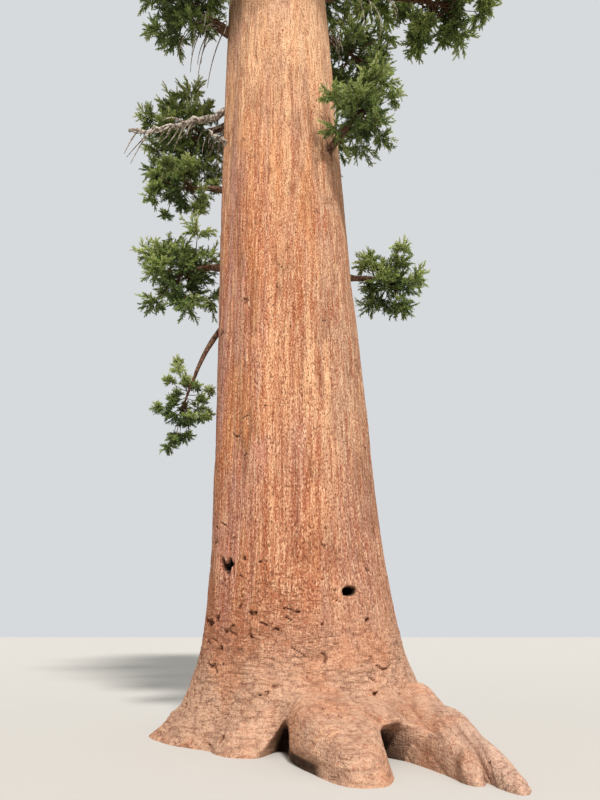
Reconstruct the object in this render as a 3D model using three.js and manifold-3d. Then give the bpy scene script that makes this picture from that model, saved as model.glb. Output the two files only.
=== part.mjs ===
// Giant sequoia, a whole conifer rooted in level ground, in millimetres with +Z up.
// The origin lies on the flat cut under the trunk, and the side with the burl faces -Y.
// The trunk is one piece from root flare to tip. Each bough is a tapering limb that ends
// where it enters its mass of foliage, and each mass grows by one seeded rule.
import * as THREE from 'three';
import { mergeVertices } from 'three/addons/utils/BufferGeometryUtils.js';
import Module from 'manifold-3d';

const wasm = await Module();
wasm.setup();

// Driving sizes of the whole tree
const TREE_HEIGHT = 40000;
const TRUNK_HEIGHT = 37600;
const TOUCH_GAP = 0.35;
const GOLDEN_ANGLE = Math.PI * (3 - Math.sqrt(5));

// Trunk: column, taper, lean and flare
const COLUMN_RADIUS = 1060;
const TAPER_HEIGHT = 39000;
const TAPER_POWER = 1.75;
const LEAN_OFFSET = -550;
const LEAN_HEIGHT = 9300;
const LEAN_POWER = 1.5;
const SWELL_REACH = 180;
const SWELL_HEIGHT = 1500;
const SWELL_RIGHT = { azimuth: -8, share: 0.95, width: 50 };
const FLARE_REACH = 330;
const FLARE_HEIGHT = 420;
const FLUTE_COUNT = 9;
const FLUTE_DEPTH = 14;
const FLUTE_TWIST_HEIGHT = 5200;
const TRUNK_SIDES = 44;
const TRUNK_RINGS = 28;
const RING_POWER = 2.25;
const FRONT_CROWDING = 0.35;

// Broad swellings of the flare: azimuth in degrees, added reach at the ground, half width in degrees
const FLARE_LOBES = [
  { azimuth: 0, reach: 190, width: 34 },
  { azimuth: 180, reach: 190, width: 30 },
  { azimuth: -135, reach: -170, width: 34 },
  { azimuth: 48, reach: 260, width: 20 },
  { azimuth: 96, reach: 420, width: 22 },
  { azimuth: 143, reach: 240, width: 18 },
];

// The burl and short root toes: each stands out of the flare up to its own height, the rounder
// the higher its power
const BUTTRESSES = [
  { name: 'burl', azimuth: -80, reach: 940, width: 12.5, height: 560, power: 4 },
  { name: 'burl, front column', azimuth: -78, reach: 190, width: 5.5, height: 380, power: 3 },
  { name: 'burl, right lobe', azimuth: -61, reach: 660, width: 9, height: 500, power: 4 },
  { name: 'right knob', azimuth: -54, reach: 480, width: 4, height: 330, power: 3 },
  { name: 'left toe', azimuth: 184, reach: 40, width: 9, height: 330, power: 2 },
  { name: 'front left toe', azimuth: -118, reach: 110, width: 10, height: 300, power: 2 },
];

// Roots that run out over the ground: azimuth and radius where each leaves the trunk, half way
// and at its tip, with the height and half width at the trunk
const ROOTS = [
  { name: 'long right root', from: [-27, 1400], by: [-50, 2420], to: [-60.4, 3310], crest: 430, width: 310 },
  { name: 'inner right root', from: [-47, 1350], by: [-56, 2250], to: [-62, 2950], crest: 400, width: 170 },
  { name: 'side root', from: [24, 1400], by: [30, 1900], to: [35, 2400], crest: 340, width: 260 },
  { name: 'back root', from: [72, 1350], by: [77, 2150], to: [86, 2850], crest: 480, width: 320 },
  { name: 'back left root', from: [130, 1250], by: [126, 1950], to: [116, 2550], crest: 420, width: 290 },
  { name: 'left back root', from: [162, 1200], by: [156, 1650], to: [146, 2050], crest: 320, width: 230 },
];
const ROOT_TIP_WIDTH = 85;
const ROOT_FULLNESS = 1.5;
const ROOT_CLIMB = 190;
const ROOT_SPREAD = 130;
const ROOT_FILLET = 0.16;
const ROOT_SIDES = 10;
const ROOT_RINGS = 7;

// Hollows in the foot and fire scars higher up: width in degrees, height and depth in millimetres.
// A hollow narrows by a share and drifts by degrees for each metre that it rises.
const HOLLOWS = [
  { name: 'cave beside the burl', azimuth: -99, level: 60, width: 5.2, height: 210, depth: 460,
    narrowing: 2.6, drift: 12 },
  { name: 'alcove under the burl', azimuth: -63, level: 40, width: 6.5, height: 240, depth: 760,
    narrowing: 0, drift: 0 },
  { name: 'undercut of the burl', azimuth: -90, level: 0, width: 5, height: 110, depth: 200,
    narrowing: 0, drift: 0 },
];
const HOLLOW_LEAST_WIDTH = 0.15;
const FIRE_SCARS = [
  { name: 'left scar', azimuth: -139, level: 1830, width: 130, height: 190, depth: 170 },
  { name: 'right scar', azimuth: -58.6, level: 1551, width: 150, height: 110, depth: 170 },
];

// Boughs and foliage
const BOUGH_SIDES = 6;
const BOUGH_RINGS = 3;
const ROOT_DEPTH = 260;
const BOUGH_SHOW = 420;
const BOUGH_TAPER = 0.55;
const BOUGH_BEND = 0.55;
const CURVE_STEPS = 6;
const CORE_SHARE = 0.64;
const CORE_LUMP = 0.14;
const CORE_LEAST = 0.1;
const TIP_SHARE = CORE_SHARE + CORE_LUMP;
const CORE_STEP = 0.04;
const CORE_SIDES = 6;
const CORE_TIERS = 4;
const TWIG_SHARE = 0.5;
const SLIVER = 4;
const TWIG_RADIUS_SHARE = 0.028;
const TWIG_TAPER = 0.6;
const SHORTEST_REACH = 0.74;
const REACH_STEP = 0.05;
const STEM_RADIUS_SHARE = 0.036;
const STEM_PAST_CENTRE = 0.35;
const FORKS_FROM = 0.4;
const FORKS_SPAN = 0.9;
const TURN_JITTER = 0.5;
const FULL_REACH = 0.9;
const CELL_MARGIN = 0.06;
const LIMB_CLEARANCE = 40;
const BLADE_THICKNESS = 0.05;
const BLADE_MIDDLE = 0.42;
const BLADE_OUTLINE = [
  [-0.22, 0],
  [0.5, 0.38],
  [0.56, 0.12],
  [1, 0],
  [0.66, -0.1],
  [0.6, -0.36],
];

// Low limbs that stand apart: azimuth and tilt in degrees, the rest in millimetres. The bough
// leaves the trunk at root height, and the mass is centred at a distance from the trunk's axis.
const LOW_LIMBS = [
  { name: 'left_drooping', azimuth: 166, root: 5800, distance: 1640, height: 4300, spread: 520,
    depth: 980, tilt: -72, radius: 52, twigs: 8, core: false },
  { name: 'left_rear_lower', azimuth: 152, root: 6500, distance: 2000, height: 7050, spread: 920,
    depth: 1250, tilt: 14, radius: 95, twigs: 11, core: true },
  { name: 'left_rear_middle', azimuth: 163, root: 8050, distance: 1900, height: 8500, spread: 720,
    depth: 820, tilt: 16, radius: 72, twigs: 6, core: false },
  { name: 'right_rear_lower', azimuth: 26, root: 6500, distance: 1980, height: 6800, spread: 720,
    depth: 960, tilt: 14, radius: 85, twigs: 11, core: true },
  { name: 'rear_lower', azimuth: 92, root: 7600, distance: 2500, height: 8200, spread: 1350,
    depth: 1500, tilt: 18, radius: 125, twigs: 10, core: true },
  { name: 'right_front', azimuth: -39, root: 8000, distance: 1600, height: 8600, spread: 740,
    depth: 860, tilt: 30, radius: 80, twigs: 12, core: true },
  { name: 'left_rear_upper', azimuth: 148, root: 9800, distance: 2200, height: 10200, spread: 1120,
    depth: 1300, tilt: 10, radius: 120, twigs: 11, core: true },
  { name: 'rear_upper', azimuth: 84, root: 10700, distance: 2750, height: 11600, spread: 1550,
    depth: 1700, tilt: 20, radius: 140, twigs: 10, core: true },
  { name: 'left_bright', azimuth: 196, root: 11200, distance: 1720, height: 11750, spread: 980,
    depth: 1120, tilt: 28, radius: 110, twigs: 11, core: true },
  { name: 'right_dark', azimuth: 42, root: 12200, distance: 2150, height: 12900, spread: 1150,
    depth: 1700, tilt: 12, radius: 140, twigs: 12, core: true },
  { name: 'right_reach', azimuth: 12, root: 12800, distance: 3450, height: 13450, spread: 1330,
    depth: 860, tilt: 4, radius: 130, twigs: 10, core: false },
];

// Upper crown: masses climb the trunk in a spiral inside a round-topped envelope
const CROWN_START = 14900;
const CROWN_FIRST_AZIMUTH = -100;
const CROWN_WIDEST = 22000;
const CROWN_RADIUS = 5050;
const CROWN_NARROWING = 0.09;
const CROWN_ROUNDING = 18600;
const CROWN_ROUND_POWER = 2.3;
const CROWN_UNEVENNESS = 0.06;
const CROWN_UNEVEN_TURN = 2.4;
const CROWN_TOP_CENTRE = 36900;
const CROWN_SPREAD_SHARE = 0.6;
const CROWN_STEP_SHARE = 0.45;
const CROWN_ROOT_SHARE = 0.3;
const CROWN_BOUGH_SHARE = 0.06;
const CROWN_DEPTH_RATIO = 1.08;
const CROWN_TWIGS = 10;
const CROWN_TILT = 26;
const BOUGHS_END = 29500;
const TOP_MASS_CENTRE = 38250;
const TOP_MASS_SPREAD = 1450;

// Dead limbs on the left side, with bare twigs that hang from them
const DEAD_SAG = 0.12;
const DEAD_TAPER = 0.3;
const DEAD_TWIG = { from: 0.45, span: 0.5, turn: 50, jitter: 20, droop: 35, length: 380, extra: 300 };
const DEAD_LIMBS = [
  { name: 'dead_limb_left', azimuth: 182, root: 9800, distance: 2600, height: 9150, radius: 75,
    twigs: 6 },
  { name: 'dead_limb_left_stub', azimuth: 204, root: 8500, distance: 1260, height: 8760, radius: 55,
    twigs: 0 },
];

// Finishes
const BARK = new THREE.MeshStandardMaterial({ color: 0xa4582f, roughness: 0.95, metalness: 0 });
const LIMB_BARK = new THREE.MeshStandardMaterial({ color: 0x6d4a35, roughness: 0.9, metalness: 0 });
const DEAD_WOOD = new THREE.MeshStandardMaterial({ color: 0xb7aa9a, roughness: 0.9, metalness: 0 });
const FOLIAGE = new THREE.MeshStandardMaterial({ color: 0x55702f, roughness: 0.8, metalness: 0 });

const radians = THREE.MathUtils.degToRad;

function seededRandom(seed) {
  let state = seed;
  return () => {
    state = (state + 0x6d2b79f5) | 0;
    let mixed = Math.imul(state ^ (state >>> 15), 1 | state);
    mixed = (mixed + Math.imul(mixed ^ (mixed >>> 7), 61 | mixed)) ^ mixed;
    return ((mixed ^ (mixed >>> 14)) >>> 0) / 4294967296;
  };
}

// Solids and meshes

function toSolid(geometry) {
  geometry.deleteAttribute('normal');
  geometry.deleteAttribute('uv');
  const merged = mergeVertices(geometry, 0.01);
  const vertProperties = new Float32Array(merged.attributes.position.array);
  const triVerts = new Uint32Array(merged.index.array);
  return new wasm.Manifold(new wasm.Mesh({ numProp: 3, vertProperties, triVerts }));
}

function largestPiece(solid) {
  const pieces = solid.decompose();
  return pieces.reduce((best, piece) => (piece.volume() > best.volume() ? piece : best));
}

function toMesh(name, solid, material) {
  const { numProp, vertProperties, triVerts } = solid.getMesh();
  const position = new Float32Array((vertProperties.length / numProp) * 3);
  for (let vertex = 0; vertex < position.length / 3; vertex += 1) {
    position.set(vertProperties.subarray(vertex * numProp, vertex * numProp + 3), vertex * 3);
  }
  const geometry = new THREE.BufferGeometry();
  geometry.setAttribute('position', new THREE.BufferAttribute(position, 3));
  geometry.setIndex(new THREE.BufferAttribute(new Uint32Array(triVerts), 1));
  geometry.computeVertexNormals();
  const mesh = new THREE.Mesh(geometry, material);
  mesh.name = name;
  return mesh;
}

// Trunk

function trunkAxis(height) {
  return LEAN_OFFSET * (1 - Math.exp(-((Math.max(0, height) / LEAN_HEIGHT) ** LEAN_POWER)));
}

function turnBetween(azimuth, centre) {
  return ((((azimuth - centre) % 360) + 540) % 360) - 180;
}

function bell(distance, width, power) {
  return Math.exp(-(Math.abs(distance / width) ** power));
}

function trunkRadius(azimuth, height) {
  const taper = 1 - (height / TAPER_HEIGHT) ** TAPER_POWER;
  const flutes = Math.sin(radians(azimuth * FLUTE_COUNT) + height / FLUTE_TWIST_HEIGHT);
  let radius = (COLUMN_RADIUS + FLUTE_DEPTH * flutes) * taper;
  const rightward = bell(turnBetween(azimuth, SWELL_RIGHT.azimuth), SWELL_RIGHT.width, 2);
  radius += SWELL_REACH * (1 + SWELL_RIGHT.share * rightward) * Math.exp(-height / SWELL_HEIGHT);
  let flare = FLARE_REACH;
  for (const lobe of FLARE_LOBES) {
    flare += lobe.reach * bell(turnBetween(azimuth, lobe.azimuth), lobe.width, 2);
  }
  radius += flare * Math.exp(-height / FLARE_HEIGHT);
  for (const buttress of BUTTRESSES) {
    const rise = Math.max(0, 1 - (height / buttress.height) ** buttress.power);
    radius += buttress.reach * rise * bell(turnBetween(azimuth, buttress.azimuth), buttress.width, 3);
  }
  for (const hollow of HOLLOWS) {
    const metres = height / 1000;
    const width = hollow.width * Math.max(HOLLOW_LEAST_WIDTH, 1 - hollow.narrowing * metres);
    const across = bell(turnBetween(azimuth, hollow.azimuth + hollow.drift * metres), width, 4);
    radius -= hollow.depth * across * bell(height - hollow.level, hollow.height, 4);
  }
  return radius;
}

// A cylinder whose side is pushed out to the trunk's radius. Rings crowd towards the ground and
// sides towards the front, where the flare has most shape.
function trunkGeometry(growth) {
  const geometry = new THREE.CylinderGeometry(1, 1, 1, TRUNK_SIDES, TRUNK_RINGS);
  const position = geometry.attributes.position;
  for (let index = 0; index < position.count; index += 1) {
    const share = Math.max(0, position.getY(index) + 0.5);
    const height = TRUNK_HEIGHT * share ** RING_POWER;
    const turn = Math.atan2(position.getX(index), position.getZ(index));
    const azimuth = THREE.MathUtils.radToDeg(turn - FRONT_CROWDING * Math.sin(turn)) - 90;
    const onAxis = Math.hypot(position.getX(index), position.getZ(index)) < 0.5;
    const radius = onAxis ? 0 : trunkRadius(azimuth, height) + growth;
    const x = trunkAxis(height) + radius * Math.cos(radians(azimuth));
    position.setXYZ(index, x, radius * Math.sin(radians(azimuth)), height);
  }
  return geometry;
}

function trunkPoint(azimuth, height, radius) {
  const angle = radians(azimuth);
  return new THREE.Vector3(trunkAxis(height) + radius * Math.cos(angle), radius * Math.sin(angle), height);
}

// A burnt pocket, a rounded pit whose mouth is at the bark
function scarSolid(scar) {
  const geometry = new THREE.SphereGeometry(1, 6, 4);
  const surface = trunkRadius(scar.azimuth, scar.level);
  const place = trunkPoint(scar.azimuth, scar.level, surface);
  geometry.scale(scar.depth, scar.width / 2, scar.height / 2);
  geometry.rotateZ(radians(scar.azimuth));
  geometry.translate(place.x, place.y, place.z);
  return toSolid(geometry);
}

// A root as half a tapering tube that lies flat on the ground, with a fillet where it climbs the
// trunk
function rootSolid(root) {
  const [start, bend, end] = [root.from, root.by, root.to].map(([azimuth, radius]) => new THREE.Vector3(
    radius * Math.cos(radians(azimuth)), radius * Math.sin(radians(azimuth)), 0));
  const control = bend.clone().multiplyScalar(2).addScaledVector(start, -0.5).addScaledVector(end, -0.5);
  const curve = new THREE.QuadraticBezierCurve3(start, control, end);
  const geometry = new THREE.CylinderGeometry(1, 1, 1, ROOT_SIDES, ROOT_RINGS);
  const position = geometry.attributes.position;
  for (let index = 0; index < position.count; index += 1) {
    const share = THREE.MathUtils.clamp(position.getY(index) + 0.5, 0, 1);
    const fillet = Math.exp(-share / ROOT_FILLET);
    const taper = share ** ROOT_FULLNESS;
    const crest = THREE.MathUtils.lerp(root.crest, ROOT_TIP_WIDTH, taper) + ROOT_CLIMB * fillet;
    const width = THREE.MathUtils.lerp(root.width, ROOT_TIP_WIDTH, taper) + ROOT_SPREAD * fillet;
    const centre = curve.getPoint(share);
    const along = curve.getTangent(share);
    const across = position.getX(index) * width;
    const height = Math.max(0, position.getZ(index)) * crest;
    position.setXYZ(index, centre.x - along.y * across, centre.y + along.x * across, height);
  }
  const solid = toSolid(geometry);
  return solid.volume() > 0 ? solid : toSolid(flipped(geometry));
}

function makeTrunk() {
  let trunk = ROOTS.reduce((joined, root) => joined.add(rootSolid(root)), toSolid(trunkGeometry(0)));
  for (const scar of FIRE_SCARS) {
    trunk = trunk.subtract(scarSolid(scar));
  }
  return trunk;
}

// Limbs

// A tapering limb along a curve that lies in one upright plane
function limbSolid(curve, azimuth, rootRadius, tipRadius, sides, rings) {
  const geometry = new THREE.CylinderGeometry(1, 1, 1, sides, rings);
  const position = geometry.attributes.position;
  const across = new THREE.Vector3(-Math.sin(radians(azimuth)), Math.cos(radians(azimuth)), 0);
  for (let index = 0; index < position.count; index += 1) {
    const share = THREE.MathUtils.clamp(position.getY(index) + 0.5, 0, 1);
    const radius = THREE.MathUtils.lerp(rootRadius, tipRadius, share);
    const centre = curve.getPoint(share);
    const along = curve.v1.clone().sub(curve.v0).lerp(curve.v2.clone().sub(curve.v1), share).normalize();
    const upward = new THREE.Vector3().crossVectors(along, across);
    centre.addScaledVector(across, position.getX(index) * radius);
    centre.addScaledVector(upward, -position.getZ(index) * radius);
    position.setXYZ(index, centre.x, centre.y, centre.z);
  }
  const solid = toSolid(geometry);
  return solid.volume() > 0 ? solid : toSolid(flipped(geometry));
}

function flipped(geometry) {
  const order = geometry.index.array;
  for (let corner = 0; corner < order.length; corner += 3) {
    [order[corner], order[corner + 1]] = [order[corner + 1], order[corner]];
  }
  return geometry;
}

// The way in which a limb points: outward at its azimuth, raised by its tilt
function limbDirection(azimuth, tilt) {
  const level = Math.cos(radians(tilt));
  return new THREE.Vector3(level * Math.cos(radians(azimuth)), level * Math.sin(radians(azimuth)),
    Math.sin(radians(tilt)));
}

// Where a limb starts, a little under the bark
function rootPoint(limb) {
  return trunkPoint(limb.azimuth, limb.root, trunkRadius(limb.azimuth, limb.root) - ROOT_DEPTH);
}

function boughCurve(limb) {
  const start = rootPoint(limb);
  const bend = limb.tip.clone().addScaledVector(limb.direction, -BOUGH_BEND * limb.tip.distanceTo(start));
  return new THREE.QuadraticBezierCurve3(start, bend, limb.tip.clone());
}

// Foliage masses

function planMass(limb, seed) {
  const direction = limbDirection(limb.azimuth, limb.tilt);
  const centre = trunkPoint(limb.azimuth, limb.height, limb.distance);
  const radii = new THREE.Vector3(limb.spread, limb.spread, limb.depth);
  const inner = 1 / direction.clone().divide(radii).length();
  const room = limb.distance - trunkRadius(limb.azimuth, limb.height) - BOUGH_SHOW;
  const share = Math.min(TIP_SHARE, room / (inner * Math.cos(radians(limb.tilt))));
  const tip = centre.clone().addScaledVector(direction, -inner * share);
  return { ...limb, seed, direction, centre, radii, tip };
}

function crownReach(height) {
  const above = Math.max(0, height - CROWN_WIDEST) / CROWN_ROUNDING;
  const below = Math.max(0, CROWN_WIDEST - height);
  return CROWN_RADIUS * (1 - above ** CROWN_ROUND_POWER) - CROWN_NARROWING * below;
}

function planCrown() {
  const limbs = [];
  let height = CROWN_START;
  while (height < CROWN_TOP_CENTRE) {
    const number = limbs.length;
    const uneven = CROWN_UNEVENNESS * (1 - Math.cos(CROWN_UNEVEN_TURN * number));
    const reach = crownReach(height) * (1 - uneven);
    const spread = CROWN_SPREAD_SHARE * reach;
    limbs.push({
      name: `crown_${String(number + 1).padStart(2, '0')}`,
      azimuth: CROWN_FIRST_AZIMUTH + THREE.MathUtils.radToDeg(number * GOLDEN_ANGLE),
      root: height - CROWN_ROOT_SHARE * spread,
      distance: reach - spread,
      height,
      spread,
      depth: spread * CROWN_DEPTH_RATIO,
      tilt: CROWN_TILT,
      radius: CROWN_BOUGH_SHARE * spread,
      twigs: CROWN_TWIGS,
      core: true,
      onTrunk: height > BOUGHS_END,
    });
    height += CROWN_STEP_SHARE * spread;
  }
  return limbs;
}

// The topmost mass stands on the trunk's tip
function planTop(seed) {
  const centre = new THREE.Vector3(trunkAxis(TOP_MASS_CENTRE), 0, TOP_MASS_CENTRE);
  const depth = TREE_HEIGHT - TOP_MASS_CENTRE;
  const radii = new THREE.Vector3(TOP_MASS_SPREAD, TOP_MASS_SPREAD, depth);
  const direction = new THREE.Vector3(0, 0, 1);
  const tip = new THREE.Vector3(trunkAxis(TRUNK_HEIGHT), 0, TRUNK_HEIGHT);
  return { name: 'crown_top', azimuth: 0, seed, direction, centre, radii, tip, twigs: CROWN_TWIGS,
    core: true, onTip: true };
}

const limbs = [...LOW_LIMBS, ...planCrown()];
const masses = limbs.map((limb, index) => planMass(limb, index + 1));
masses.push(planTop(limbs.length + 1));
const boughs = masses.filter((mass) => !mass.onTrunk && !mass.onTip);
const limbLines = boughs.map((bough) => ({
  points: boughCurve(bough).getPoints(CURVE_STEPS),
  radius: bough.radius,
}));

// A bough, or with some growth the room that foliage leaves round it
function boughSolid(bough, growth) {
  const curve = boughCurve(bough);
  curve.v2.addScaledVector(bough.direction, growth);
  return limbSolid(curve, bough.azimuth, bough.radius + growth, bough.radius * BOUGH_TAPER + growth,
    BOUGH_SIDES, BOUGH_RINGS);
}

const grownTrunk = toSolid(trunkGeometry(TOUCH_GAP));
const limbRooms = boughs.map((bough) => boughSolid(bough, LIMB_CLEARANCE));

function fill(mass, point) {
  return point.clone().sub(mass.centre).divide(mass.radii).lengthSq();
}

function nearLimb(point) {
  const nearest = new THREE.Vector3();
  for (const limb of limbLines) {
    for (let index = 1; index < limb.points.length; index += 1) {
      new THREE.Line3(limb.points[index - 1], limb.points[index]).closestPointToPoint(point, true, nearest);
      if (nearest.distanceTo(point) < limb.radius + LIMB_CLEARANCE) {
        return true;
      }
    }
  }
  return false;
}

function nearTrunk(point) {
  if (point.z > TRUNK_HEIGHT + LIMB_CLEARANCE) {
    return false;
  }
  const x = point.x - trunkAxis(point.z);
  const azimuth = THREE.MathUtils.radToDeg(Math.atan2(point.y, x));
  const height = THREE.MathUtils.clamp(point.z, 0, TRUNK_HEIGHT);
  return Math.hypot(x, point.y) < trunkRadius(azimuth, height) + LIMB_CLEARANCE;
}

// A point is in a mass's own space when it is inside its reach, nearer in share to it than to
// any other mass, and clear of the trunk and of every limb
function inOwnSpace(mass, point) {
  const own = fill(mass, point);
  if (own > 1.0001 || nearTrunk(point) || nearLimb(point)) {
    return false;
  }
  return masses.every((other) => other === mass || fill(other, point) > own + CELL_MARGIN);
}

// A dense mass has a lumpy core, each corner drawn in until it lies in the mass's own space
function coreSolid(mass, random) {
  const geometry = new THREE.SphereGeometry(1, CORE_SIDES, CORE_TIERS);
  geometry.deleteAttribute('normal');
  geometry.deleteAttribute('uv');
  const merged = mergeVertices(geometry, 0.01);
  const position = merged.attributes.position;
  for (let index = 0; index < position.count; index += 1) {
    const way = new THREE.Vector3().fromBufferAttribute(position, index).multiply(mass.radii);
    let share = CORE_SHARE + CORE_LUMP * (2 * random() - 1);
    const corner = mass.centre.clone().addScaledVector(way, share);
    while (share > CORE_LEAST && !inOwnSpace(mass, corner)) {
      share -= CORE_STEP;
      corner.copy(mass.centre).addScaledVector(way, share);
    }
    position.setXYZ(index, corner.x, corner.y, corner.z);
  }
  return toSolid(merged);
}

// A three-sided stick from one point to another
function stickSolid(start, end, startRadius, endRadius) {
  const geometry = new THREE.CylinderGeometry(endRadius, startRadius, start.distanceTo(end), 3, 1);
  geometry.applyQuaternion(new THREE.Quaternion().setFromUnitVectors(
    new THREE.Vector3(0, 1, 0), end.clone().sub(start).normalize()));
  const middle = start.clone().lerp(end, 0.5);
  geometry.translate(middle.x, middle.y, middle.z);
  return toSolid(geometry);
}

// A spray of needles: a toothed blade with a pointed tip, thickest at its middle
function bladeFrame(start, end, roll) {
  const along = end.clone().sub(start);
  const length = along.length();
  along.normalize();
  const level = Math.abs(along.z) > 0.9 ? new THREE.Vector3(1, 0, 0) : new THREE.Vector3(0, 0, 1);
  const across = new THREE.Vector3().crossVectors(level, along).normalize().applyAxisAngle(along, roll);
  return { along, across, length, normal: new THREE.Vector3().crossVectors(along, across) };
}

function bladePoint(start, frame, share, side) {
  return start.clone().addScaledVector(frame.along, share * frame.length)
    .addScaledVector(frame.across, side * frame.length);
}

function bladeSolid(start, frame) {
  const corners = BLADE_OUTLINE.length;
  const geometry = new THREE.SphereGeometry(1, corners, 2);
  const position = geometry.attributes.position;
  const middle = bladePoint(start, frame, BLADE_MIDDLE, 0);
  for (let index = 0; index < position.count; index += 1) {
    const side = position.getY(index);
    const turn = Math.atan2(position.getZ(index), -position.getX(index));
    const corner = (Math.round((turn * corners) / (2 * Math.PI)) + corners) % corners;
    const point = Math.abs(side) > 0.5
      ? middle.clone().addScaledVector(frame.normal, Math.sign(side) * BLADE_THICKNESS * frame.length)
      : bladePoint(start, frame, ...BLADE_OUTLINE[corner]);
    position.setXYZ(index, point.x, point.y, point.z);
  }
  const solid = toSolid(geometry);
  return solid.volume() > 0 ? solid : toSolid(flipped(geometry));
}

// The spray at the end of a twig that leaves the stem at a fork and heads for the mass's edge
function planSpray(mass, fork, way, reach, roll) {
  const edge = mass.centre.clone().addScaledVector(way, reach);
  const start = fork.clone().lerp(edge, TWIG_SHARE);
  return { start, frame: bladeFrame(start, edge, roll) };
}

function sprayFits(mass, { start, frame }) {
  return BLADE_OUTLINE.slice(1)
    .every(([share, side]) => inOwnSpace(mass, bladePoint(start, frame, share, side)));
}

// Twigs leave the stem one after another in a spiral of directions, and each ends in a spray
// that reaches the edge of the mass. In a dense mass the twigs are buried in the core.
function growMass(mass) {
  const random = seededRandom(mass.seed);
  const twigRadius = TWIG_RADIUS_SHARE * mass.radii.x;
  const stemStart = mass.onTrunk ? rootPoint(mass)
    : mass.tip.clone().addScaledVector(mass.direction, TOUCH_GAP);
  const stemRadius = STEM_RADIUS_SHARE * mass.radii.x;
  const stemEnd = mass.centre.clone().lerp(mass.tip, -STEM_PAST_CENTRE);
  const stem = stickSolid(stemStart, stemEnd, stemRadius, stemRadius * TWIG_TAPER);
  const pieces = [];
  if (mass.core) {
    pieces.push(coreSolid(mass, random));
  }
  for (let number = 0; number < mass.twigs; number += 1) {
    const rise = 1 - (2 * (number + 0.5)) / mass.twigs;
    const turn = number * GOLDEN_ANGLE + TURN_JITTER * random();
    const level = Math.sqrt(1 - rise ** 2);
    const way = number === 0 ? mass.direction.clone()
      : new THREE.Vector3(level * Math.cos(turn), level * Math.sin(turn), rise);
    const reach = number === 0 ? 1 : FULL_REACH + (1 - FULL_REACH) * random();
    const along = FORKS_FROM + (FORKS_SPAN * (number + 0.5)) / mass.twigs;
    const fork = mass.tip.clone().lerp(mass.centre, along);
    const roll = Math.PI * random();
    if (number === 0) {
      way.divideScalar(way.clone().divide(mass.radii).length());
    } else {
      way.multiply(mass.radii);
    }
    let spray = planSpray(mass, fork, way, reach, roll);
    for (let share = reach; share > SHORTEST_REACH && !sprayFits(mass, spray); share -= REACH_STEP) {
      spray = planSpray(mass, fork, way, share, roll);
    }
    if (!sprayFits(mass, spray)) {
      continue;
    }
    pieces.push(bladeSolid(spray.start, spray.frame));
    if (!mass.core) {
      pieces.push(stickSolid(fork, spray.start, twigRadius, twigRadius * TWIG_TAPER));
    }
  }
  const grown = pieces.reduce((joined, piece) => joined.add(piece)).simplify(SLIVER);
  return largestPiece(limbRooms.reduce((rest, room) => rest.subtract(room), grown)).add(stem);
}

// Assembly

const tree = new THREE.Group();
tree.add(toMesh('trunk', makeTrunk(), BARK));

for (const bough of boughs) {
  const limb = boughSolid(bough, 0);
  tree.add(toMesh(`bough_${bough.name}`, largestPiece(limb.subtract(grownTrunk)), LIMB_BARK));
}

for (const dead of DEAD_LIMBS) {
  const start = rootPoint(dead);
  const tip = trunkPoint(dead.azimuth, dead.height, dead.distance);
  const sag = DEAD_SAG * start.distanceTo(tip);
  const curve = new THREE.QuadraticBezierCurve3(start, start.clone().lerp(tip, 0.5).setZ(
    (start.z + tip.z) / 2 - sag), tip);
  const tipRadius = dead.radius * DEAD_TAPER;
  let limb = limbSolid(curve, dead.azimuth, dead.radius, tipRadius, BOUGH_SIDES, BOUGH_RINGS);
  const random = seededRandom(dead.root);
  for (let number = 0; number < dead.twigs; number += 1) {
    const origin = curve.getPoint(DEAD_TWIG.from + (DEAD_TWIG.span * (number + 0.5)) / dead.twigs);
    const turn = (number % 2 ? DEAD_TWIG.turn : -DEAD_TWIG.turn) + DEAD_TWIG.jitter * random();
    const way = limbDirection(dead.azimuth + turn, -DEAD_TWIG.droop * (1 + random()));
    const end = origin.clone().addScaledVector(way, DEAD_TWIG.length + DEAD_TWIG.extra * random());
    limb = limb.add(stickSolid(origin, end, tipRadius, tipRadius * DEAD_TAPER));
  }
  tree.add(toMesh(dead.name, largestPiece(limb.subtract(grownTrunk)), DEAD_WOOD));
}

for (const mass of masses) {
  const foliage = growMass(mass).subtract(grownTrunk);
  tree.add(toMesh(`foliage_${mass.name}`, largestPiece(foliage), FOLIAGE));
}

export default tree;
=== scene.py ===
# A giant sequoia rooted in level ground, dressed round its packed solids. Metres, +Z up, with the
# burl on the side that faces -Y. The trunk, limbs and masses of foliage follow the sizes below, and
# each mass grows by one seeded rule that is carried on to finer twigs and to sprays of needles.
import math
from types import SimpleNamespace

import bpy
import numpy as np
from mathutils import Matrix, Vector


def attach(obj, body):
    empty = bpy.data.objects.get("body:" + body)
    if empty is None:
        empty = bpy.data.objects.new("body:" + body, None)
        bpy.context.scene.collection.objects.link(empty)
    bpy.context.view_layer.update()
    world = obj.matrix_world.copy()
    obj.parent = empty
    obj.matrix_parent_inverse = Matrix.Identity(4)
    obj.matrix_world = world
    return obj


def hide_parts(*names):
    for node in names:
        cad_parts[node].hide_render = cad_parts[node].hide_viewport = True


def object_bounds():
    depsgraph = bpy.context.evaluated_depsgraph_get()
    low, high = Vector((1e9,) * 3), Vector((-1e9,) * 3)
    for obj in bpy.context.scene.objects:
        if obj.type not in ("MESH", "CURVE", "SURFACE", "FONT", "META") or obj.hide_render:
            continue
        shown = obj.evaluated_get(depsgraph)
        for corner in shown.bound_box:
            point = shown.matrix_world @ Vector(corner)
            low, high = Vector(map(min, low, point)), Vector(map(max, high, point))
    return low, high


bl_info = {
    "name": "Giant Sequoia",
    "version": (1, 0, 0),
    "blender": (4, 5, 0),
    "location": "View3D > Sidebar > Sequoia",
    "description": "Furrowed bark, boughs, twigs and sprays of needles of a giant sequoia",
    "category": "Object",
}

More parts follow.
